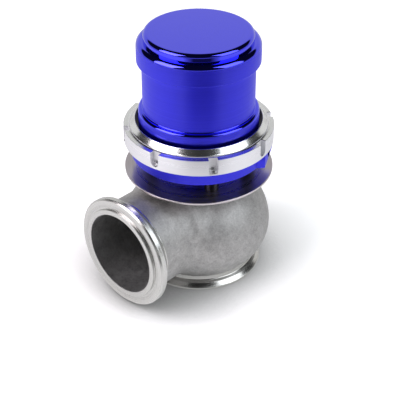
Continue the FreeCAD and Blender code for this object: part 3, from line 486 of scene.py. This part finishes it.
def makeTopCan():
    topCan = turnPiece(
        "topCan",
        [
            (can["bore"] - can["corner"], ceiling),
            (can["bore"], ceiling - can["corner"]),
            (can["bore"], canLevel + can["mouth"]),
            (can["bore"] + can["mouth"], canLevel),
            (can["flange"], canLevel, can["breakEdge"]),
            (can["flange"], slipLevel, can["breakEdge"]),
            (can["foot"], slipLevel),
            (can["foot"], can["footTop"], can["footRound"]),
            (can["wall"], can["footTop"], can["ogee"] - 0.001),  # just short of meeting the foot's round
            (can["wall"], can["bandFoot"]),
            (can["band"], can["bandFoot"], can["bandEdge"]),
            (can["band"], can["bandTop"], can["bandRound"]),
            (can["disc"], can["bandTop"]),
            (can["disc"], canTop, can["discRound"]),
            (can["disc"] - can["discRound"] - 1, canTop),
        ],
        closed=False,
        segments=256,
    )
    for radius, reach in ((can["spotRadius"], can["spotFace"]), (can["port"], can["bore"] - 2)):
        cutter = place(plug(radius, reach, can["band"] + 3), (0, 0, can["portLevel"]), (-90, 0, 0))
        combine(topCan, cutter, "DIFFERENCE")
    dress(topCan, "can", "top_can", [bluePolished, blueTurned], blueFinish)


# Lock ring: slotted band with a raised lip round the can's foot
ring = {
    "bore": 47.0, "radius": 54.3, "foot": 104.3, "top": 116.4, "edge": 0.3, "slotEdge": 0.18,
    "lipFoot": 49.9, "lipHollow": 3.4, "lipTop": 121.0, "lipBore": 45.8, "lipEdge": 0.6,
    "slots": 8, "turn": 9.3, "slotWidth": 6.4, "slotDepth": 3.6, "slotLength": 10.4,
    "hole": 1.2, "holeRise": 2.1, "holeDepth": 2.6,
}
slotAngles = [ring["turn"] + 360 / ring["slots"] * number for number in range(ring["slots"])]


# A stadium seen along the radius: round below, and past the ring's top above
def makeSlotCutter():
    half = ring["slotWidth"] / 2
    level = ring["top"] - ring["slotLength"] + half
    deselectAll()
    bpy.ops.mesh.primitive_circle_add(
        vertices=48, radius=half * mm, fill_type="NGON", rotation=(0, math.radians(90), 0),
        location=((ring["radius"] - ring["slotDepth"]) * mm, 0, level * mm),
    )
    cutter = bpy.context.object
    bpy.ops.object.transform_apply(location=True, rotation=True, scale=True)
    bpy.ops.object.mode_set(mode="EDIT")
    bpy.ops.mesh.select_all(action="DESELECT")
    bpy.ops.object.mode_set(mode="OBJECT")
    for vertex in cutter.data.vertices:
        vertex.select = vertex.co.z > (level + 0.01) * mm
    bpy.ops.object.mode_set(mode="EDIT")
    bpy.ops.transform.translate(value=(0, 0, ring["slotLength"] * mm))
    bpy.ops.mesh.select_all(action="SELECT")
    bpy.ops.mesh.extrude_region_move(TRANSFORM_OT_translate={"value": (2 * ring["slotDepth"] * mm, 0, 0)})
    recalculate()
    return cutter


def makeLockRing():
    lockRing = turnPiece(
        "lockRing",
        [
            (ring["bore"], ring["foot"]),
            (ring["radius"], ring["foot"], ring["edge"]),
            (ring["radius"], ring["top"], ring["edge"]),
            (ring["lipFoot"], ring["top"], ring["lipHollow"]),
            (ring["lipBore"] + ring["lipEdge"], ring["lipTop"], 0.4),
            (ring["lipBore"], ring["lipTop"], 0.2),
            (ring["lipBore"], shoulderLevel),
            (ring["bore"], shoulderLevel),
        ],
        segments=256,
    )
    combine(lockRing, aroundZ(makeSlotCutter(), slotAngles, "slotCutters"), "DIFFERENCE")
    bevelEdges(lockRing, ring["slotEdge"], angle=40)
    slotFloor = ring["radius"] - ring["slotDepth"]
    holeLevel = ring["top"] - ring["slotLength"] + ring["holeRise"]
    hole = plug(ring["hole"], slotFloor - ring["holeDepth"], slotFloor + 1, segments=24)
    place(hole, (0, 0, holeLevel), (0, 90, 0))
    combine(lockRing, aroundZ(hole, slotAngles, "slotHoles"), "DIFFERENCE")

    # 0 polished, 1 the belted band, 2 the slots
    def chooseFinish(centre, normal):
        radius = math.hypot(centre.x, centre.y)
        outward = (centre.x * normal.x + centre.y * normal.y) / radius
        if radius > ring["radius"] - 0.1 and outward > 0.99:
            return 1
        innermost = max(slotFloor - ring["holeDepth"] - 0.1, ring["bore"] + 0.1)
        inSlot = radius > innermost and abs(normal.z) < 0.9
        return 2 if inSlot and centre.z < ring["top"] + 0.6 else 0

    finishes = [ringPolished, ringSatin, ringCut]
    dress(lockRing, "ring", "lock_ring", finishes, chooseFinish)


# Lower housing: the cup under the ring, with a flat boss for each port
housing = {
    "radius": 49.3, "skirt": 10.2, "thread": 46.9, "bore": 42.5, "floor": 3.5, "edge": 0.3,
    "hub": 14.0, "hubDepth": 9.7, "stemHole": 5.6, "seal": 9.0, "sealHeight": 5.0, "circlip": 2.0,
    "bossRoot": 43.9, "bossRootWidth": 15.2, "bossBack": 45.4, "bossBackWidth": 35.2,
    "bossReach": 51.8, "bossWidth": 30.4,
    "port": 4.3, "portDepth": 6.5, "drill": 1.4, "portAngle": 30,
}


# An upright plane inside the wall, extruded out to the boss's widest place and on to its flat face
def makePortBoss():
    deselectAll()
    bpy.ops.mesh.primitive_plane_add(size=mm)
    boss = bpy.context.object
    boss.scale = (housing["skirt"], housing["bossRootWidth"], 1)
    place(boss, (housing["bossRoot"], 0, housingLevel + housing["skirt"] / 2), (0, 90, 0))
    bpy.ops.object.mode_set(mode="EDIT")
    bpy.ops.mesh.select_all(action="SELECT")
    reach, width = housing["bossRoot"], housing["bossRootWidth"]
    for nextReach, nextWidth in (
        (housing["bossBack"], housing["bossBackWidth"]),
        (housing["bossReach"], housing["bossWidth"]),
    ):
        way = ((nextReach - reach) * mm, 0, 0)
        bpy.ops.mesh.extrude_region_move(TRANSFORM_OT_translate={"value": way})
        bpy.ops.transform.resize(value=(1, nextWidth / width, 1), center_override=(0, 0, 0))
        reach, width = nextReach, nextWidth
    recalculate()
    return boss


def makeLowerHousing():
    floorTop = housingLevel + housing["floor"]
    sealLevel = floorTop - housing["circlip"] - housing["sealHeight"]
    lowerHousing = turnPiece(
        "lowerHousing",
        [
            (housing["stemHole"], housingLevel - housing["hubDepth"]),
            (housing["hub"], housingLevel - housing["hubDepth"], 0.5),
            (housing["hub"], housingLevel, 1.0),
            (housing["radius"], housingLevel, housing["edge"]),
            (housing["radius"], housingLevel + housing["skirt"], housing["edge"]),
            (housing["thread"], housingLevel + housing["skirt"]),
            (housing["thread"], housingTop, housing["edge"]),
            (housing["bore"], housingTop, housing["edge"]),
            (housing["bore"], floorTop, 1.0),
            (housing["seal"], floorTop),
            (housing["seal"], sealLevel),
            (housing["stemHole"], sealLevel),
        ],
        segments=256,
    )
    portAngles = [housing["portAngle"], 180 - housing["portAngle"]]
    boss = bevelEdges(makePortBoss(), housing["edge"], angle=25)
    combine(lowerHousing, aroundZ(boss, portAngles, "bosses"), "UNION")
    portLevel = housingLevel + housing["skirt"] / 2
    for radius, reach in (
        (housing["port"], housing["bossReach"] - housing["portDepth"]),
        (housing["drill"], housing["bore"] - 2),
    ):
        bore = plug(radius, reach, housing["bossReach"] + 3, segments=48)
        place(bore, (0, 0, portLevel), (0, 90, 0))
        combine(lowerHousing, aroundZ(bore, portAngles, "portBores"), "DIFFERENCE")
    drillBolts(lowerHousing, housingLevel - 2, floorTop + 2)
    dress(lowerHousing, "gate", "lower_housing", [bluePolished, blueTurned], blueFinish)


# Heat shield and the tubes that stand on it
shield = {"radius": 54.2, "hole": 15.0, "edge": 0.34}
spacerTube = {"outside": 5.0, "edge": 0.3}


def makeShield():
    heatShield = turnTube(
        "heatShield", shield["hole"], shield["radius"], shieldLevel, shieldTop, shield["edge"], 256
    )
    drillBolts(heatShield, shieldLevel - 1, shieldTop + 1)
    dress(heatShield, "gate", "heat_shield", [shieldPolished])


def makeSpacers():
    spacer = turnTube(
        "spacer", boltHole, spacerTube["outside"], shieldTop, housingLevel, spacerTube["edge"], 48
    )
    place(spacer, (boltCircle, 0, 0))
    spacers = aroundZ(spacer, boltAngles, "shieldSpacers")
    # Their near black colour is painted shade for the gap under the housing
    dress(spacers, "gate", "shield_spacers", [spacerPaintedShade])


# Cast body. The globe and the neck are joined, remeshed and smoothed, so that they blend as a casting does.
# The machined flanges and the deck are turned pieces that stay crisp.
cast = {
    "globe": 53.0, "level": 34.0, "upperArc": 40.0, "lowerArc": 33.0, "wall": 4.5,
    "foot": 41.45, "footBore": 36.0, "footLevel": 8.0, "floorLevel": 12.0,
    "roofLevel": 67.5, "guideHole": 12.0, "neck": 34.4, "flare": 15.0, "passage": 30.2, "neckEnd": 69.0,
    "voxel": 1.0, "blendReach": 13.0, "blendFactor": 0.5, "blendSteps": 110,
    "evenFactor": 0.4, "evenSteps": 3,
}


# Radius of the globe at a level; shrink is how far inside its surface
def globeRadius(level, shrink=0.0):
    arc = cast["upperArc"] if level >= cast["level"] else cast["lowerArc"]
    return cast["globe"] - arc + math.sqrt(max((arc - shrink) ** 2 - (level - cast["level"]) ** 2, 0))


# Points on the globe's side, evenly spaced in angle
def globeOutline(lowLevel, highLevel, shrink, steps):
    points = []
    for arc, start, end in (
        (cast["lowerArc"] - shrink, lowLevel, cast["level"]),
        (cast["upperArc"] - shrink, cast["level"], highLevel),
    ):
        first = math.asin((start - cast["level"]) / arc)
        last = math.asin((end - cast["level"]) / arc)
        for step in range(steps + 1):
            level = cast["level"] + arc * math.sin(first + (last - first) * step / steps)
            points.append((globeRadius(level, shrink), level))
        if start == lowLevel:
            points.pop()
    return points


def makeCastBody():
    crown = cast["level"] + cast["upperArc"]
    footReach = cast["foot"] - cast["globe"] + cast["lowerArc"]
    meets = cast["level"] - math.sqrt(cast["lowerArc"] ** 2 - footReach**2)  # where the foot meets the globe
    foot = [(cast["footBore"] + 0.5, cast["footLevel"]), (cast["foot"], cast["footLevel"])]
    body = turnPiece(
        "castBody", [*foot, *globeOutline(meets, crown - 0.05, 0, 24)], closed=False, segments=144
    )
    flareCentre = cast["neck"] + cast["flare"]
    plan = globeRadius(outletLevel)
    flareStart = math.sqrt((plan + cast["flare"]) ** 2 - flareCentre**2)
    share = plan / (plan + cast["flare"])
    root = (flareCentre * share, flareStart * share)
    flare = arcThrough(root, (cast["neck"], flareStart), cast["flare"], -1, 10)
    neck = turnPiece(
        "castNeck", [(root[0], cast["level"] / 2), *flare, (cast["neck"], cast["neckEnd"])],
        closed=False, segments=144,
    )
    place(neck, (0, 0, outletLevel), (90, 0, 0))
    activate(neck)
    bpy.ops.object.mode_set(mode="EDIT")
    trimAt(deckLevel - 0.1, 1)
    recalculate()
    combine(body, neck, "UNION")

    chamber = turnPiece(
        "castChamber",
        [
            (cast["footBore"], cast["footLevel"] - 1),
            (cast["footBore"], cast["floorLevel"]),
            *globeOutline(cast["floorLevel"], cast["roofLevel"], cast["wall"], 24),
            (cast["guideHole"], cast["roofLevel"] + 1),
            (cast["guideHole"], crown + 2),
        ],
        closed=False, segments=144,
    )
    passage = plug(cast["passage"], 10, cast["neckEnd"] + 3, segments=144)
    place(passage, (0, 0, outletLevel), (90, 0, 0))
    combine(chamber, passage, "UNION")
    combine(body, chamber, "DIFFERENCE")

    activate(body)
    remesh = body.modifiers.new("skin", "REMESH")
    remesh.mode = "VOXEL"
    remesh.voxel_size = cast["voxel"] * mm
    bpy.ops.object.modifier_apply(modifier="skin")
    print("casting remeshed,", len(body.data.polygons), "faces")

    # Smoothed within the blend's reach of where globe and neck meet, most in the middle
    group = body.vertex_groups.new(name="blend")
    for vertex in body.data.vertices:
        x, y, z = vertex.co / mm
        neckHere = neckRadius(-y, flareStart, flareCentre, share)
        fromNeck = abs(math.hypot(x, z - outletLevel) - neckHere)
        fromGlobe = abs(globeDistance(math.hypot(x, y), z))
        closeness = 1 - max(fromNeck, fromGlobe) / cast["blendReach"]
        if closeness > 0 and y < 0 and z > cast["footLevel"] + 2:
            group.add([vertex.index], min(1.0, closeness * 1.6), "REPLACE")
    blend = body.modifiers.new("blend", "SMOOTH")
    blend.factor = cast["blendFactor"]
    blend.iterations = cast["blendSteps"]
    blend.vertex_group = "blend"
    bpy.ops.object.modifier_apply(modifier="blend")
    even = body.modifiers.new("even", "SMOOTH")
    even.factor = cast["evenFactor"]
    even.iterations = cast["evenSteps"]
    bpy.ops.object.modifier_apply(modifier="even")
    body.vertex_groups.clear()

    # 0 outside, 1 in the chamber or the passage, darker there as painted shade
    def insideOrOut(centre, normal):
        radius = math.hypot(centre.x, centre.y)
        inGlobe = globeDistance(radius, centre.z) < -cast["wall"] / 2
        inNeck = math.hypot(centre.x, centre.z - outletLevel) < cast["neck"] - 2 and centre.y < -20
        return int(inGlobe or inNeck)

    dress(body, "gate", "valve_body", [castOutside, castInsidePaintedShade], insideOrOut)


# Outside radius of the neck at a distance from the stem's axis
def neckRadius(reach, flareStart, flareCentre, share):
    if reach >= flareStart:
        return cast["neck"]
    if reach <= flareStart * share:
        return flareCentre * share
    return flareCentre - math.sqrt(cast["flare"] ** 2 - (flareStart - reach) ** 2)


# Signed distance from the globe's surface
def globeDistance(radius, level):
    arc = cast["upperArc"] if level >= cast["level"] else cast["lowerArc"]
    return math.hypot(max(radius - (cast["globe"] - arc), 0), level - cast["level"]) - arc


# Outlet flange, set out along its own axis from the stem's, with a sleeve that lines the cast passage
outlet = {
    "reach": 81.1, "bore": 30.0, "pilot": 33.8, "face": 79.5, "bevel": 1.2,
    "rim": 41.3, "rimFront": 78.3, "rimBack": 74.7, "cone": 36.4, "coneBack": 69.7,
    "collar": 35.4, "collarEnd": 67.6, "collarInside": 33.0, "sleeve": 31.2, "sleeveEnd": 50.0,
}


def makeOutletFlange():
    flange = turnPiece(
        "outletFlange",
        [
            (outlet["bore"] + 0.3, outlet["sleeveEnd"]),
            (outlet["bore"], outlet["sleeveEnd"] + 8),
            (outlet["bore"], outlet["reach"], 0.15),
            (outlet["pilot"], outlet["reach"], 0.4),
            (outlet["pilot"], outlet["face"], 0.3),
            (outlet["rim"] - outlet["bevel"], outlet["face"], 0.4),
            (outlet["rim"], outlet["rimFront"], 0.4),
            (outlet["rim"], outlet["rimBack"], 0.5),
            (outlet["cone"], outlet["coneBack"], 0.3),
            (outlet["collar"], outlet["coneBack"], 0.2),
            (outlet["collar"], outlet["collarEnd"], 0.6),
            (outlet["collarInside"], outlet["collarEnd"]),
            (outlet["sleeve"], outlet["sleeveEnd"] + 2),
            (outlet["sleeve"], outlet["sleeveEnd"]),
        ],
        segments=256,
    )
    place(flange, (0, 0, outletLevel), (90, 0, 0))

    # 0 turned, 1 the bore, which takes the casting's inside finish, darkened as painted shade
    def chooseFinish(centre, normal):
        return int(math.hypot(centre.x, centre.z - outletLevel) < outlet["bore"] + 0.4)

    dress(flange, "gate", "valve_body", [outletTurned, castInsidePaintedShade], chooseFinish)


# Inlet flange, with the step that the seat sits in
inlet = {
    "rim": 46.5, "rimTop": 1.4, "cone": 43.9, "coneTop": 4.1, "neck": 41.6, "neckFoot": 5.5, "neckTop": 8.9,
    "seatStep": 39.55, "stepLevel": 3, "bore": 36.05, "top": 12,
}


def makeInletFlange():
    flange = turnPiece(
        "inletFlange",
        [
            (inlet["seatStep"], 0),
            (inlet["rim"], 0, 0.3),
            (inlet["rim"], inlet["rimTop"], 0.35),
            (inlet["cone"], inlet["coneTop"], 0.4),
            (inlet["neck"], inlet["neckFoot"], 1.2),
            (inlet["neck"] - 0.1, inlet["neckTop"]),
            (inlet["bore"] + 2.05, inlet["top"]),
            (inlet["bore"], inlet["top"]),
            (inlet["bore"], inlet["stepLevel"]),
            (inlet["seatStep"], inlet["stepLevel"]),
        ],
        segments=256,
    )
    dress(flange, "gate", "valve_body", [flangeTurned])


# Top flange of the casting, with the boss that holds the guide
deckPlate = {
    "radius": 43, "foot": 74.5, "bore": 9.05, "boss": 12.9, "bossTip": 11.5, "bossFoot": 52,
    "bossBend": 68, "bossTop": 71.5, "shoulder": 33.3,
}


def makeDeck():
    deck = turnPiece(
        "castDeck",
        [
            (deckPlate["bore"], deckPlate["bossFoot"]),
            (deckPlate["bossTip"], deckPlate["bossFoot"], 0.8),
            (deckPlate["boss"], deckPlate["bossBend"]),
            (deckPlate["boss"], deckPlate["bossTop"]),
            (deckPlate["shoulder"], cast["roofLevel"]),
            (deckPlate["radius"], deckPlate["foot"], 0.8),
            (deckPlate["radius"], deckLevel, 0.4),
            (deckPlate["bore"], deckLevel),
        ],
    )
    dress(deck, "gate", "valve_body", [castOutside, flangeTurned],
          lambda centre, normal: int(normal.z > 0.9))


# Valve, seat and guide, which show through the outlet and from below
poppet = {
    "throat": 30.0, "overlap": 2.6, "foot": 9.071, "margin": 1.9, "dome": 5, "flare": 9,
    "stem": 5, "shoulder": 97.8, "thread": 4, "top": 115.0,
}
seatRing = {"flange": 39.5, "flangeTop": 2.95, "radius": 36, "top": 12, "coneFoot": 9, "edge": 0.3}
guideBush = {"bore": 5.08, "radius": 9, "foot": 50, "top": 82.5, "edge": 0.75}


def makeValveTrain():
    head = poppet["throat"] + poppet["overlap"]
    coneTop = poppet["foot"] + poppet["overlap"]
    rootLevel = coneTop + poppet["margin"] + poppet["dome"]
    root = (poppet["stem"] + poppet["flare"], rootLevel)
    flare = arcThrough(root, (poppet["stem"], rootLevel + poppet["flare"]), poppet["flare"], -1, 10)
    valve = turnPiece(
        "valveHead",
        [
            (2.0, poppet["foot"]),
            (poppet["throat"], poppet["foot"], 0.2),
            (head, coneTop),
            (head, coneTop + poppet["margin"], 0.4),
            *flare,
            (poppet["stem"], poppet["shoulder"]),
            (poppet["thread"], poppet["shoulder"]),
            (poppet["thread"], poppet["top"] - 0.5),
            (poppet["thread"] - 0.5, poppet["top"]),
            (1.0, poppet["top"]),
        ],
        closed=False,
    )
    dress(valve, "valve", "valve", [flangeTurned])
    seat = turnPiece(
        "valveSeat",
        [
            (poppet["throat"], 0, seatRing["edge"]),
            (seatRing["flange"], 0, seatRing["edge"]),
            (seatRing["flange"], seatRing["flangeTop"]),
            (seatRing["radius"], seatRing["flangeTop"]),
            (seatRing["radius"], seatRing["top"], seatRing["edge"]),
            (poppet["throat"] + seatRing["top"] - seatRing["coneFoot"], seatRing["top"]),
            (poppet["throat"], seatRing["coneFoot"]),
        ],
    )
    dress(seat, "gate", "valve_seat", [flangeTurned])
    bush = guideBush
    guide = turnTube("valveGuide", bush["bore"], bush["radius"], bush["foot"], bush["top"], bush["edge"], 96)
    dress(guide, "gate", "valve_guide", [bronzeTurned])


# Springs: round wire, closed and ground at both ends. The pitch closes up there, which a screw modifier
# can't do, so each wire follows a curve of its own.
coils = {"foot": 103.8, "samples": 40, "closedTurns": 0.9, "lift": 11}


def makeSpring(name, node, meanRadius, wire, turns):
    foot = coils["foot"]
    rise = ceiling - foot - wire
    total = turns + coils["closedTurns"]
    points = []
    for step in range(int(total * coils["samples"]) + 1):
        turn = step / coils["samples"]
        share = min(max((turn - coils["closedTurns"] / 2) / (total - coils["closedTurns"]), 0), 1)
        ease = share * share * (3 - 2 * share) * 0.35 + share * 0.65
        level = foot + wire / 2 + rise * ease
        points.append((meanRadius * math.cos(math.tau * turn), meanRadius * math.sin(math.tau * turn), level))
    deselectAll()
    curve = bpy.data.curves.new(name, "CURVE")
    curve.dimensions = "3D"
    curve.bevel_depth = wire / 2 * mm
    curve.bevel_resolution = 6
    curve.use_fill_caps = True
    spline = curve.splines.new("POLY")
    spline.points.add(len(points) - 1)
    for point, spot in zip(spline.points, points):
        point.co = (*[value * mm for value in spot], 1)
    coil = bpy.data.objects.new(name, curve)
    bpy.context.collection.objects.link(coil)
    activate(coil)
    bpy.ops.object.convert(target="MESH")
    spring = bpy.context.object
    bpy.ops.object.mode_set(mode="EDIT")
    ground = wire / 5  # what is ground off each end, before the spring is stretched to its length
    trimAt(foot + ground, -1)
    trimAt(ceiling - ground, 1)
    bpy.ops.mesh.select_all(action="SELECT")
    stretch = (ceiling - foot) / (ceiling - foot - 2 * ground)
    bpy.ops.transform.resize(value=(1, 1, stretch), center_override=(0, 0, (foot + ceiling) / 2 * mm))
    recalculate()
    dress(spring, "can", node, [wireSteel])
    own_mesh(spring)


# Diaphragm: clamped bead, rolling wall, and a middle between the plates
membrane = {
    "thick": 1.2, "middle": 99.8, "hole": 4.1, "flat": 30, "wallTop": 42, "bead": 46.4, "beadInside": 40.8,
}


def makeDiaphragm():
    thick, middle = membrane["thick"], membrane["middle"]
    diaphragm = turnPiece(
        "diaphragmSheet",
        [
            (membrane["hole"], middle),
            (membrane["flat"], middle, 1.5),
            (membrane["wallTop"], housingTop - thick, 0.8),
            (housing["bore"], housingTop),
            (membrane["bead"], housingTop, 0.3),
            (membrane["bead"], canLevel, 0.3),
            (membrane["beadInside"], canLevel, 0.3),
            (membrane["beadInside"], canLevel - thick, 0.8),
            (membrane["flat"] - thick, middle + thick, 1.5),
            (membrane["hole"], middle + thick),
        ],
    )
    dress(diaphragm, "gate", "diaphragm", [diaphragmRubber])
    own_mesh(diaphragm)


makeTopCan()
makeLockRing()
makeLowerHousing()
print("can, ring and housing made")
makeShield()
makeSpacers()
makeCastBody()
makeOutletFlange()
makeInletFlange()
makeDeck()
print("casting and flanges made")
makeValveTrain()
makeSpring("outerSpring", "outer_spring", 23, 4.8, 5)
makeSpring("innerSpring", "inner_spring", 14.6, 3.4, 6)
makeDiaphragm()
print("inner pieces made")

# Inner pieces whose solids are shown as they are
nodeFinishes = {
    "stem_seal": sealRubber,
    "seal_circlip": wireSteel,
    "body_gasket": gasketSheet,
    "housing_bolts": blackOxide,
    "diaphragm_plate": plainTurned,
    "spring_piston": plainTurned,
    "stem_washer": flangeTurned,
    "stem_nut": blackOxide,
    # The slip washer's black is painted shade for the gap round the can's foot
    "slip_washer": slipPolymerPaintedShade,
    "locating_pin": flangeTurned,
}
for nodeName, material in nodeFinishes.items():
    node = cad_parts[nodeName]
    node.data.materials.clear()
    node.data.materials.append(material)
print("inner nodes finished")


# Studio: pale floor, two softboxes beside the camera, soft light all round. Lengths are in millimetres,
# apart from the floor's reaches, which are in metres.
studio = {
    "azimuth": 43.6, "elevation": 29.86, "distance": 770, "aim": 121.2,
    "lens": 96.6, "sensor": 36, "shiftX": 0.003, "shiftY": -0.2115,
    "boxSide": 64, "boxElevation": 37, "boxDistance": 950, "boxWidth": 660, "boxHeight": 780,
    "leftRadiance": 4.6, "leftTint": "#FFF8FD", "rightRadiance": 2.9, "rightTint": "#F5FAFF", "ambient": 0.5,
}
floorPaper = {
    "size": 3000, "white": 0.88, "extraForCamera": 0.34, "glow": 0.1, "glowForCamera": 0.15,
    "nookReach": 0.06, "nookPower": 1.6, "shade": 0.95, "drop": 0.2,
    "shadeTurn": 6, "shadeFrom": 0.2, "shadeTo": 0.3, "shadeSide": 0.8, "shadeFront": 0.96,
}
room = {
    "behind": -0.85, "highEdge": 0.62, "inFront": -0.35, "lowEdge": 0.12,
    "dark": 0.02, "fadeFrom": -0.03, "fadeTo": 0.05,
}
azimuth = math.radians(studio["azimuth"])
towardCamera = Vector((math.sin(azimuth), -math.cos(azimuth), 0))
towardRight = Vector((-towardCamera.y, towardCamera.x, 0))


# A place round the object: side is the angle to the right of the camera, in degrees
def studioPoint(side, elevation, distance):
    side, elevation = math.radians(side), math.radians(elevation)
    level = towardCamera * math.cos(side) + towardRight * math.sin(side)
    direction = level * math.cos(elevation) + Vector((0, 0, math.sin(elevation)))
    return direction * distance * mm + Vector((0, 0, studio["aim"] * mm))


def aimAt(thing, target):
    thing.rotation_euler = (Vector(target) - thing.location).to_track_quat("-Z", "Y").to_euler()


def addSoftbox(name, side, radiance, tint):
    lamp = bpy.data.lights.new(name, "AREA")
    lamp.shape = "RECTANGLE"
    lamp.size = studio["boxWidth"] * mm
    lamp.size_y = studio["boxHeight"] * mm
    lamp.energy = radiance * math.pi * lamp.size * lamp.size_y
    lamp.color = toLinear(tint)[:3]
    box = bpy.data.objects.new(name, lamp)
    bpy.context.collection.objects.link(box)
    box.location = studioPoint(side, studio["boxElevation"], studio["boxDistance"])
    aimAt(box, (0, 0, studio["aim"] * mm))


# 1 for the kinds of ray that are named, such as Is Glossy Ray, 0 for the rest
def rayKind(tree, *kinds):
    rays = addNode(tree, "ShaderNodeLightPath")
    found = rays.outputs[kinds[0]]
    for kind in kinds[1:]:
        found = compute(tree, "MAXIMUM", found, rays.outputs[kind])
    return found


# The paper ends in front of the object, and polished walls see the dark room beyond it:
# 1 on the paper, less past it
def frontShade(tree):
    spot = addNode(tree, "ShaderNodeTexCoord").outputs["Object"]
    reach = addNode(tree, "ShaderNodeVectorMath", {0: spot}, operation="LENGTH").outputs["Value"]
    turned = Matrix.Rotation(math.radians(floorPaper["shadeTurn"]), 3, "Z") @ towardCamera
    way = addNode(tree, "ShaderNodeVectorMath", {0: spot}, operation="NORMALIZE").outputs[0]
    ahead = addNode(
        tree, "ShaderNodeVectorMath", {0: way, 1: turned}, operation="DOT_PRODUCT"
    ).outputs["Value"]
    past = ramp(tree, reach, 0, 1, floorPaper["shadeFrom"], floorPaper["shadeTo"])
    inFront = ramp(tree, ahead, 0, 1, floorPaper["shadeSide"], floorPaper["shadeFront"])
    dark = compute(tree, "MULTIPLY", past, inFront)
    seen = compute(tree, "MULTIPLY", dark, rayKind(tree, "Is Glossy Ray"))
    return compute(tree, "MULTIPLY_ADD", seen, -floorPaper["shade"], 1.0)


# White paper that glows a little for the camera, and darkens where the object stands close to it
def makeFloor():
    deselectAll()
    bpy.ops.mesh.primitive_plane_add(size=floorPaper["size"] * mm, location=(0, 0, -floorPaper["drop"] * mm))
    floor = bpy.context.object
    floor.name = "studioFloor"
    material, tree, shader = startMaterial("paleFloor", "#EFEFEF", 0.0, 0.9)
    tree.nodes.remove(shader)
    shade = frontShade(tree)
    camera = rayKind(tree, "Is Camera Ray")
    direct = rayKind(tree, "Is Camera Ray", "Is Glossy Ray", "Is Transmission Ray")
    nook = addNode(
        tree, "ShaderNodeAmbientOcclusion", {"Distance": floorPaper["nookReach"]}, samples=8
    ).outputs["AO"]
    deep = compute(tree, "POWER", nook, floorPaper["nookPower"])
    contact = addNode(tree, "ShaderNodeMix", {0: camera, 2: 1.0, 3: deep}, data_type="FLOAT").outputs[0]
    albedo = compute(tree, "MULTIPLY_ADD", camera, floorPaper["extraForCamera"], floorPaper["white"])
    tone = compute(tree, "MULTIPLY", compute(tree, "MULTIPLY", albedo, shade), contact)
    paper = addNode(tree, "ShaderNodeBsdfDiffuse", {"Color": tone})
    glow = compute(tree, "MULTIPLY", compute(tree, "MULTIPLY", direct, floorPaper["glow"]), shade)
    clear = compute(tree, "MULTIPLY", camera, deep)
    bright = compute(tree, "MULTIPLY_ADD", clear, floorPaper["glowForCamera"], glow)
    backlight = addNode(tree, "ShaderNodeEmission", {"Strength": bright})
    both = addNode(tree, "ShaderNodeAddShader", {0: paper.outputs[0], 1: backlight.outputs[0]})
    tree.links.new(both.outputs[0], tree.nodes["Material Output"].inputs["Surface"])
    floor.data.materials.append(material)


# White low down and behind, dark above the camera, so that polished rounds show dark bands. The dark
# starts high behind and low in front.
def makeWorld():
    world = bpy.data.worlds.new("studioAir")
    bpy.context.scene.world = world
    world.use_nodes = True
    tree = world.node_tree
    tree.nodes.clear()
    direction = addNode(tree, "ShaderNodeTexCoord").outputs["Generated"]
    height = addNode(tree, "ShaderNodeSeparateXYZ", {0: direction}).outputs["Z"]
    front = addNode(
        tree, "ShaderNodeVectorMath", {0: direction, 1: towardCamera}, operation="DOT_PRODUCT"
    ).outputs["Value"]
    edge = ramp(tree, front, room["highEdge"], room["lowEdge"], room["behind"], room["inFront"])
    above = compute(tree, "SUBTRACT", height, edge)
    polished = ramp(tree, above, 1, room["dark"], room["fadeFrom"], room["fadeTo"])
    shiny = rayKind(tree, "Is Glossy Ray", "Is Transmission Ray")
    soft = addNode(
        tree, "ShaderNodeMix", {0: shiny, 2: studio["ambient"], 3: polished}, data_type="FLOAT"
    ).outputs[0]
    camera = rayKind(tree, "Is Camera Ray")
    strength = addNode(tree, "ShaderNodeMix", {0: camera, 2: soft, 3: 1.0}, data_type="FLOAT").outputs[0]
    air = addNode(tree, "ShaderNodeBackground", {"Strength": strength})
    addNode(tree, "ShaderNodeOutputWorld", {"Surface": air.outputs[0]})


def makeCamera():
    lens = bpy.data.cameras.new("portraitLens")
    lens.lens = studio["lens"]
    lens.sensor_width = studio["sensor"]
    lens.shift_x = studio["shiftX"]
    lens.shift_y = studio["shiftY"]
    camera = bpy.data.objects.new("portraitCamera", lens)
    bpy.context.collection.objects.link(camera)
    camera.location = studioPoint(0, studio["elevation"], studio["distance"])
    aimAt(camera, (0, 0, studio["aim"] * mm))
    bpy.context.scene.camera = camera


makeFloor()
makeWorld()
makeCamera()
addSoftbox("leftSoftbox", -studio["boxSide"], studio["leftRadiance"], studio["leftTint"])
addSoftbox("rightSoftbox", studio["boxSide"], studio["rightRadiance"], studio["rightTint"])
bpy.context.scene.view_settings.view_transform = "Standard"
print("studio made")
